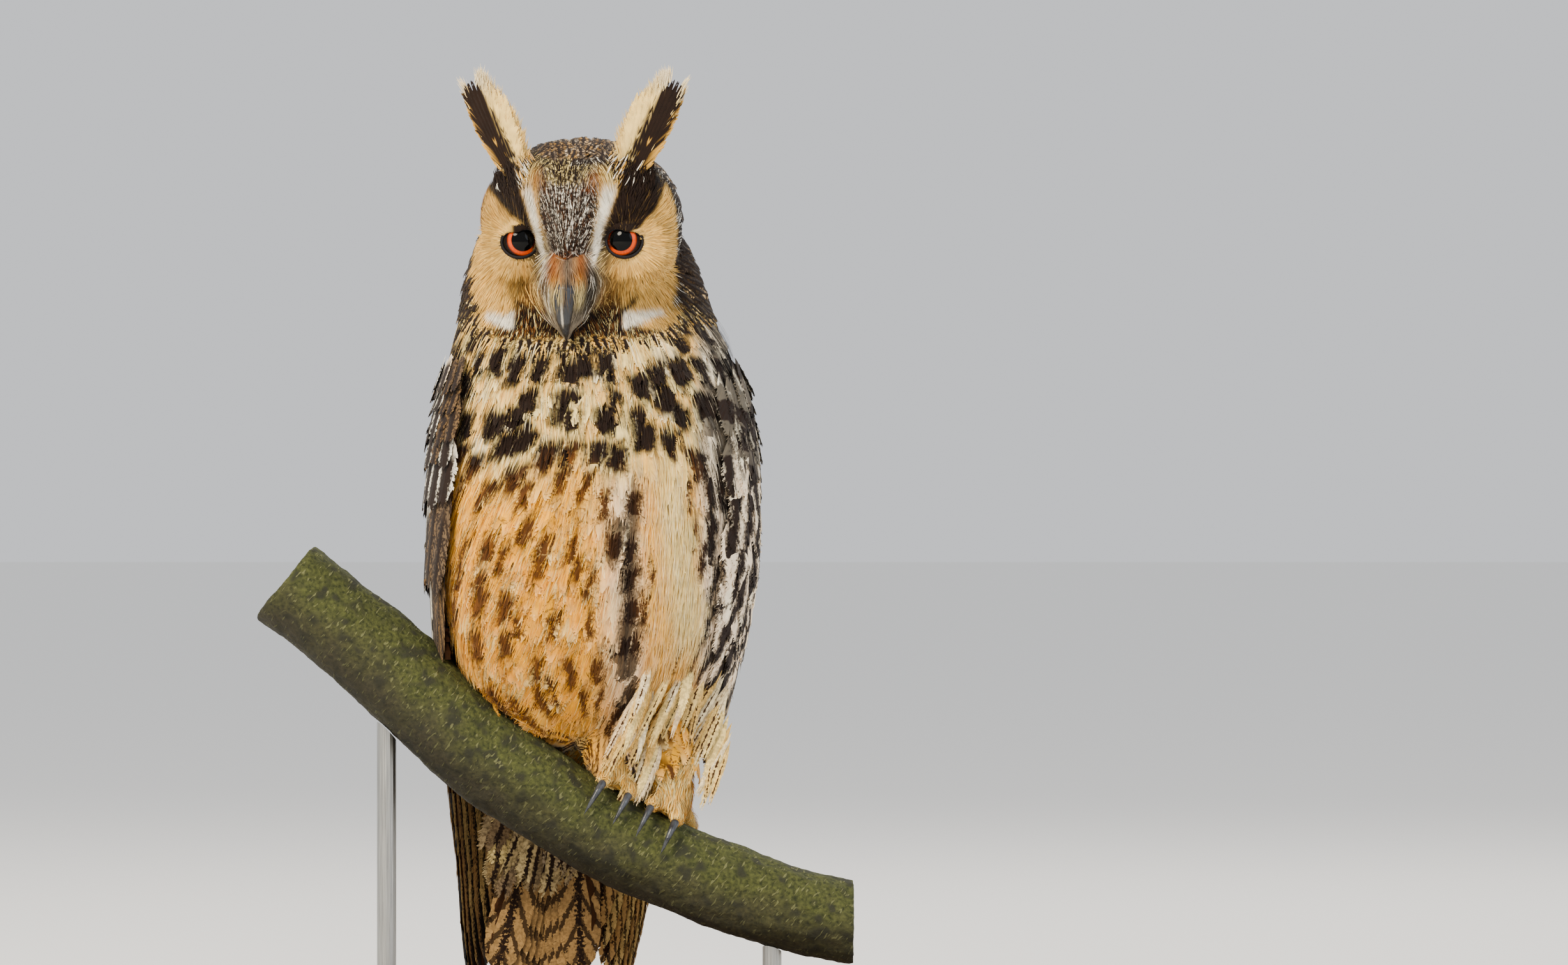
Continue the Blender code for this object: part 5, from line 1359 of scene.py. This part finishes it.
def makeTuft(name, side):
    root = np.array((side * 24, -12, 27.0))
    up = unit(np.array((side * 0.40, 0.33, 0.86)))
    across = np.array((side * 0.86, 0.20, -0.42))
    across = unit(across - up * across.dot(up))
    ahead = np.cross(across, up) * side
    layers = []
    for layer, forward in enumerate((2.2, 0.9, -0.8)):
        for i in range(tufts["feathers"]):
            share = (i + 0.5 * (layer % 2)) / tufts["feathers"]
            length = tufts["length"] * (0.60 + 0.40 * math.sin(math.pi * (0.12 + 0.55 * share))) * (1 - 0.08 * layer)
            spread = (share - 0.62) * 19
            t = np.linspace(0, 1, lineSteps + 1)[:, None]
            start = root + across * (share - 0.5) * 7 + ahead * forward - up * 3
            end = root + up * length + across * (spread + 1.5) + ahead * (forward * 0.5 + 1.2)
            bow = ahead * 1.6 * np.sin(math.pi * t)
            layers.append(start + (end - start) * t + bow)
    local = np.array(layers)
    line = fromHead(local)
    normal = np.broadcast_to(ahead @ headTurn.T, line.shape)
    count = len(line)
    every = np.ones((count, 1))
    look = looksOf(dye["dark"] * every, dye["black"] * every, 0.0, 0.0, 0.0)
    widths = tufts["halfWidth"] * rng.uniform(0.9, 1.1, count) * mm
    piece = vanePiece(f"ear_tuft_{name}_feathers", line, normal, widths, look, barbs=22, outline="pointed",
                      sweep=0.2, cup=0.2, fray=1.2, gap=0.35)
    points = toHead(pointsOf(piece)) - root
    u, v = points @ up, points @ across
    middle = 0.1 + 0.10 * u - 0.0004 * u**2
    jitter = 0.5 * np.sin(u * 1.3) + rng.normal(size=len(u)) * 0.35
    half = 5.2 * np.interp(u, (-4, 4, 20, 38, 44), (0.7, 0.95, 1.15, 1.0, 0.6))
    off = v - middle + jitter
    strip = fade(-half - 0.6, -half + 0.6, off) * fade(half + 0.6, half - 0.6, off)
    spot = (np.sin(u * 1.9 + 1.0) > 0.93) & (u < 14)
    strip = np.where(spot, 0.25 * strip, strip)
    pale = blend(blend(dye["cream"] * np.ones((len(u), 1)), dye["buff"], 0.3), dye["white"], 0.4 * fade(32, 44, u))
    outer = v > middle
    pale = np.where(outer[:, None], dye["buff"], pale)
    tint = blend(pale, dye["dark"], strip)
    tint[:, 3] = 1
    piece.data.attributes["tint"].data.foreach_set("color", tint.ravel())
    finishPiece(piece, vaneKeratin, (f"ear_tuft_{name}",))

    def fringeLooks(p, chance):
        u = (toHead(p) - root) @ up
        every = np.ones((len(p), 1))
        tint = blend(blend(dye["cream"] * every, dye["buff"], 0.4 * chance[:, 1]), dye["white"], 0.5 * fade(28, 42, u))
        tint = blend(tint, dye["buff"], 0.5 * fade(16, 4, u) * chance[:, 0])
        return looksOf(vary(tint, 0.06, chance[:, 2]), dye["dark"] * every, 0.0, 0.0, 0.0)

    count = tufts["fringe"]
    inner = rng.random(count) < 0.78
    rise = rng.uniform(-2, 0.93 * tufts["length"], count)
    share = rise / tufts["length"]
    inside = -2.0 - 6.5 * np.sin(math.pi * np.clip(share * 0.8 + 0.18, 0, 1)) * (1 - 0.55 * share)
    outside = 4.5 + 1.5 * np.sin(math.pi * np.clip(share + 0.1, 0, 1)) + 3.0 * share
    start = np.where(inner, inside + rng.uniform(0, 3.5, count), outside - rng.uniform(0.5, 2.5, count))
    reach = np.where(inner, -rng.uniform(1.5, 5.0, count) * (1 - 0.6 * share), rng.uniform(0.2, 1.2, count))
    long = rng.uniform(6, 11, count) * (1 - 0.45 * share)
    t = np.linspace(0, 1, lineSteps + 1)[None, :, None]
    depth = rng.uniform(-1.2, 3.0, count)
    first = root + up * rise[:, None] + across * start[:, None] + ahead * depth[:, None]
    swing = up * long[:, None] + across * reach[:, None] + ahead * rng.normal(size=(count, 1)) * 0.8
    local = first[:, None] + swing[:, None] * t + across * (reach[:, None, None] * 0.5 * t**2)
    line = fromHead(local)
    normal = np.broadcast_to(ahead @ headTurn.T, line.shape)
    fringe = strandPiece(f"ear_tuft_{name}_fringe", line, normal, rng.uniform(0.12, 0.24, count) * mm, fringeLooks,
                         settle=0.6)
    finishPiece(fringe, vaneKeratin)


tuftSkirt = {"spacing": 0.9 * mm, "reach": 11.0, "length": (7, 13)}


def makeSkirt(name, side):  # loose feathers that lead from crown and brow into a tuft
    root = np.array((side * 24, -12, 27.0))
    up = unit(np.array((side * 0.40, 0.33, 0.86)))
    across = unit(np.array((side * 0.86, 0.20, -0.42)))

    def spacingOf(p):
        return np.where(np.linalg.norm(toHead(p) - root + up * 2, axis=1) < tuftSkirt["reach"], 1.0, 0.0)

    roots = scatter(skin, spacingOf, tuftSkirt["spacing"])
    count = len(roots)
    local = toHead(roots)
    near = 1 - 0.5 * np.linalg.norm(local - root, axis=1) / tuftSkirt["reach"]
    ways = up + (root - local) * 0.03 + rng.normal(size=(count, 3)) * 0.12
    long = rng.uniform(*tuftSkirt["length"], count) * near
    t = np.linspace(0, 1, lineSteps + 1)[None, :, None]
    out = unit(local)[:, None] * 1.5 * np.sin(math.pi * t)
    line = fromHead((local - up * 0.8)[:, None] + unit(ways)[:, None] * long[:, None, None] * t + out)
    normal = np.broadcast_to((np.cross(across, up) * side) @ headTurn.T, line.shape)

    def skirtLooks(p, chance):
        v = (toHead(p) - root) @ across
        every = np.ones((len(p), 1))
        inner = blend(dye["dark"] * every, dye["white"], fade(0.5, 0.7, chance[:, 0]))
        inner = blend(inner, dye["buff"], 0.7 * (chance[:, 1] < 0.25))
        tint = blend(inner, dye["dark"], fade(-4.5, -2.5, v) * (chance[:, 1] < 0.93))
        return looksOf(vary(tint, 0.06, chance[:, 2]), dye["dark"] * every, 0.0, 0.0, 0.0)

    piece = strandPiece(f"ear_tuft_{name}_skirt", line, normal, rng.uniform(0.16, 0.30, count) * mm, skirtLooks)
    finishPiece(piece, vaneKeratin)


print("ear tufts")
makeSkirt("right", -1)
makeSkirt("left", 1)
makeTuft("right", -1)
makeTuft("left", 1)


# Eyes and bill

def eyeFrame(side):  # centre of the eye, the way it looks, and its right and up
    centre = fromHead((side * owl["eye"][0], owl["eye"][1], owl["eye"][2]))
    look = unit(np.array((side * 0.02, -1.0, -0.02)))
    right = unit(np.cross(look, (0, 0, 1)))
    return centre, look, right, np.cross(right, look)


def makeEye(name, side):
    centre, look, right, up = eyeFrame(side)
    deselect()
    bpy.ops.mesh.primitive_uv_sphere_add(segments=64, ring_count=40, radius=owl["eyeRadius"] * mm, location=centre)
    bpy.ops.object.transform_apply(location=True, rotation=True, scale=True)
    obj = bpy.context.view_layer.objects.active
    obj.name = obj.data.name = f"eyeball_{name}"
    points = pointsOf(obj) - centre
    front = points @ look
    cornea = fade(4.5 * mm, 9 * mm, front) * 0.6 * mm  # the clear front bulges a little
    movePoints(obj, centre + points + look * cornea[:, None])
    layer = obj.data.uv_layers[0]
    layer.name = "look"
    corners = np.empty(len(obj.data.loops), dtype=np.int32)
    obj.data.loops.foreach_get("vertex_index", corners)
    outwards = np.stack((points @ right * -side, points @ up), axis=1) / mm
    flat = (outwards + (eyeSizes["squint"], -0.3)) * (-1, 1) / (2 * owl["eyeRadius"]) + 0.5  # u grows towards the bill
    flat[front < 0] = (0.02, 0.5)
    layer.data.foreach_set("uv", flat[corners].ravel())
    return obj


lids = {"around": 72, "lashes": 1700, "hanging": 420, "leaves": 1.02, "wide": 50, "top": 25, "bottom": 43, "slant": 12}


def makeLids(name, side):  # a rolled rim round the opening, pressed down at the top and towards the bill
    centre, look, right, up = eyeFrame(side)
    turn = np.arange(lids["around"]) * math.tau / lids["around"]
    cosine, sine = np.cos(turn), np.sin(turn)
    opening = lidOpening(turn, side)
    out = right * cosine[:, None] + up * sine[:, None]
    rings = []
    for past, reach in ((0.0, 8.8), (-0.5, 9.4), (2.0, 9.8), (6, 9.85), (12, 9.6), (30, 9.3), (48, 9.8), (48, 8.4)):
        polar = np.radians(opening + past)[:, None]
        rings.append(centre + (look * np.cos(polar) + out * np.sin(polar)) * reach * mm)
    points = np.array(rings).reshape(-1, 3)
    count = lids["around"]
    faces = []
    for row in range(len(rings)):
        below = (row + 1) % len(rings)
        for k in range(count):
            after = (k + 1) % count
            faces.append((row * count + k, row * count + after, below * count + after, below * count + k))
    obj = meshFromArrays(f"lids_{name}", points, np.array(faces), np.empty((0, 3), dtype=int))
    activate(obj)
    bpy.ops.object.mode_set(mode="EDIT")
    bpy.ops.mesh.select_all(action="SELECT")
    bpy.ops.mesh.normals_make_consistent(inside=False)
    bpy.ops.object.mode_set(mode="OBJECT")
    useModifier(obj, "SUBSURF", levels=1, render_levels=1)
    return obj


def lidOpening(turn, side):  # the polar angle of the opening's edge, in degrees, all round the eye
    cosine, sine = np.cos(turn), np.sin(turn)
    opening = np.where(sine > 0, np.hypot(lids["wide"] * cosine, lids["top"] * sine),
                       np.hypot(lids["wide"] * cosine, lids["bottom"] * sine))
    return opening - lids["slant"] * fade(-0.2, 1.0, sine) * fade(-0.4, 1.0, -side * cosine)


def makeLashes(name, side):  # short bristles on the lids, and dark ones of the brow that hang over the rim
    centre, look, right, up = eyeFrame(side)
    count, hanging = lids["lashes"], lids["hanging"]
    turn = np.concatenate((rng.uniform(0, math.tau, count), rng.uniform(0.10, 0.90, hanging) * math.pi))
    over = np.arange(count + hanging) >= count
    opening = lidOpening(turn, side)
    start = np.radians(opening + np.where(over, rng.uniform(5, 20, len(turn)), rng.uniform(3.5, 44, len(turn))))
    end = np.where(over, np.radians(opening - rng.uniform(-3, 3, len(turn))), start + rng.uniform(2.2, 5.0, len(turn)) / 9.8)
    out = right * np.cos(turn)[:, None] + up * np.sin(turn)[:, None]
    t = np.linspace(0, 1, lineSteps + 1)
    angle = start[:, None] + (end - start)[:, None] * t
    level = np.minimum(angle, lids["leaves"])[..., None]
    past = np.maximum(angle - lids["leaves"], 0)[..., None]  # there they leave the ball and lie along the face
    far = 9.5 + rng.uniform(0.3, 1.2, len(turn))[:, None] * np.where(over[:, None], 1.0, t)
    normal = look * np.cos(level) + out[:, None] * np.sin(level)
    line = centre + (normal * far[..., None] + (out[:, None] + 0.25 * look) * past * 9.8) * mm

    def lashLooks(p, chance):
        looks = faceLooks(centre + (p - centre) * 1.15, chance)
        inwards = (p[:, 0] - centre[0]) * -side / mm
        hangs = np.repeat(over, len(p) // len(over)) * fade(-5, -2, inwards)
        looks["tint"] = blend(looks["tint"], dye["dark"], hangs * (chance[:, 1] < 0.95))
        return looks

    piece = strandPiece(f"lashes_{name}", line, normal, rng.uniform(0.12, 0.22, len(turn)) * mm, lashLooks, settle=0.8)
    finishPiece(piece, vaneKeratin)


print("eyes and bill")
cornea = eyeMaterial()
lidSkin = lidMaterial()
for name, side in (("right", -1), ("left", 1)):
    finishPiece(makeEye(name, side), cornea, (f"eye_{name}",))
    finishPiece(makeLids(name, side), lidSkin)
    makeLashes(name, side)


def makeHorn(nodes, name, material, levels=1):
    obj = copyOfNodes(name, nodes)
    useModifier(obj, "REMESH", mode="VOXEL", voxel_size=0.45 * mm)
    useModifier(obj, "SMOOTH", factor=0.5, iterations=5)
    return finishPiece(obj, material, nodes)


def makeBill():
    horn = billMaterial()
    for node in ("bill_upper", "bill_lower"):
        obj = makeHorn((node,), f"{node}_horn", horn)
        level = toHead(pointsOf(obj))
        # ridge mask on the upper bill, where the bill material paints its highlight
        ridge = fade(0.9, 0.2, np.abs(level[:, 0] + 0.3)) * fade(-30, -24, level[:, 2]) * fade(-48, -51, level[:, 1])
        mark = obj.data.attributes.new("ridge", "FLOAT", "POINT")
        mark.data.foreach_set("value", ridge * (1 if node == "bill_upper" else 0))


makeBill()
claws = [f"talon_{side}_{toe}" for side in ("right", "left") for toe in ("inner", "middle", "outer", "hind")]
makeHorn(claws, "claws", clawMaterial())


# Perch and stand

branch = {"steps": 260, "around": 120}


def makeBark():
    obj = copyOfNodes("bark", ("perch_branch",))
    useModifier(obj, "REMESH", mode="VOXEL", voxel_size=1.2 * mm)
    useModifier(obj, "SMOOTH", factor=0.5, iterations=6)
    for size, strength in ((14 * mm, 1.6 * mm), (3 * mm, 0.7 * mm)):
        lumps = bpy.data.textures.new("lumps", "CLOUDS")
        lumps.noise_scale = size
        useModifier(obj, "DISPLACE", texture=lumps, strength=strength, mid_level=0.6)
    points = pointsOf(obj)
    path = np.array([(-128, 207), (-112, 194), (-88, 174), (-55, 143), (-20, 117), (12, 98), (45, 83), (78, 72),
                     (108, 65)])
    middle = np.interp(points[:, 0] / mm, path[:, 0], path[:, 1]) * mm
    # top falls off below and towards the back, where the bark material paints shade
    top = np.clip((points[:, 2] - middle) / (20 * mm), -1, 1) - 0.25 * fade(0, 20 * mm, points[:, 1])
    attribute = obj.data.attributes.new("top", "FLOAT", "POINT")
    attribute.data.foreach_set("value", top)
    turn = np.arctan2(-points[:, 1], points[:, 2] - middle)
    corners = np.empty(len(obj.data.loops), dtype=np.int32)
    obj.data.loops.foreach_get("vertex_index", corners)
    layer = obj.data.uv_layers.new(name="wood")
    length = 0.79 * points[:, 0] - 0.61 * points[:, 2]
    layer.data.foreach_set("uv", np.stack((length, turn * 19 * mm), axis=1)[corners].ravel())
    return finishPiece(obj, barkMaterial(), ("perch_branch",))


print("perch")
makeBark()
walnut, steel = walnutMaterial(), steelMaterial()
for node, finish in (("stand_base", walnut), ("stand_rod_high", steel), ("stand_rod_low", steel)):
    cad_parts[node].data.materials.clear()
    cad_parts[node].data.materials.append(finish)


# Stage

stage = {
    "floor": 3.0,
    "cameraDistance": 4.0,
    "aim": (0.079, 0.2477),  # across and up
    "fieldWidth": 0.651,
}


def paperMaterial():  # pale matt paper for the backdrop
    material, tree, shader = newMaterial("palePaper", 0.95, 0.1)
    shader.inputs["Base Color"].default_value = linear("#f4f3f0")
    return material


def makeStage():
    deselect()
    bpy.ops.mesh.primitive_plane_add(size=1, location=(0, 0, 0))
    floor = bpy.context.view_layer.objects.active
    floor.name = "floor"
    movePoints(floor, pointsOf(floor) * np.array((60, 60, 1)) + np.array((0, 0, -0.0002)))
    floor.data.materials.append(paperMaterial())
    lamps = (
        # place, width, power, colour
        ((-1.3, -2.0, 2.2), 1.2, 165, "#fff1d8"),
        ((1.9, -1.5, 1.3), 1.8, 26, "#e9f0ff"),
        ((0.6, 1.8, 1.9), 1.4, 26, "#fff8ee"),
    )
    for place, width, power, colour in lamps:
        lamp = bpy.data.lights.new("softbox", "AREA")
        lamp.shape = "DISK"
        lamp.size = width
        lamp.energy = power
        lamp.color = linear(colour)[:3]
        obj = bpy.data.objects.new("softbox", lamp)
        obj.location = place
        obj.rotation_euler = (Vector((0, 0, 0.22)) - Vector(place)).to_track_quat("-Z", "Y").to_euler()
        bpy.context.scene.collection.objects.link(obj)
    world = bpy.data.worlds.new("studio")
    world.use_nodes = True
    world.node_tree.nodes["Background"].inputs[0].default_value = linear("#e8eaee")
    world.node_tree.nodes["Background"].inputs[1].default_value = 1.0
    bpy.context.scene.world = world
    lens = bpy.data.cameras.new("camera")
    lens.lens = 36 * stage["cameraDistance"] / stage["fieldWidth"]
    lens.sensor_width = 36
    lens.clip_end = 30
    camera = bpy.data.objects.new("camera", lens)
    camera.location = (stage["aim"][0], -stage["cameraDistance"], stage["aim"][1])
    camera.rotation_euler = (math.pi / 2, 0, 0)
    bpy.context.scene.collection.objects.link(camera)
    bpy.context.scene.camera = camera


print("stage")
makeStage()
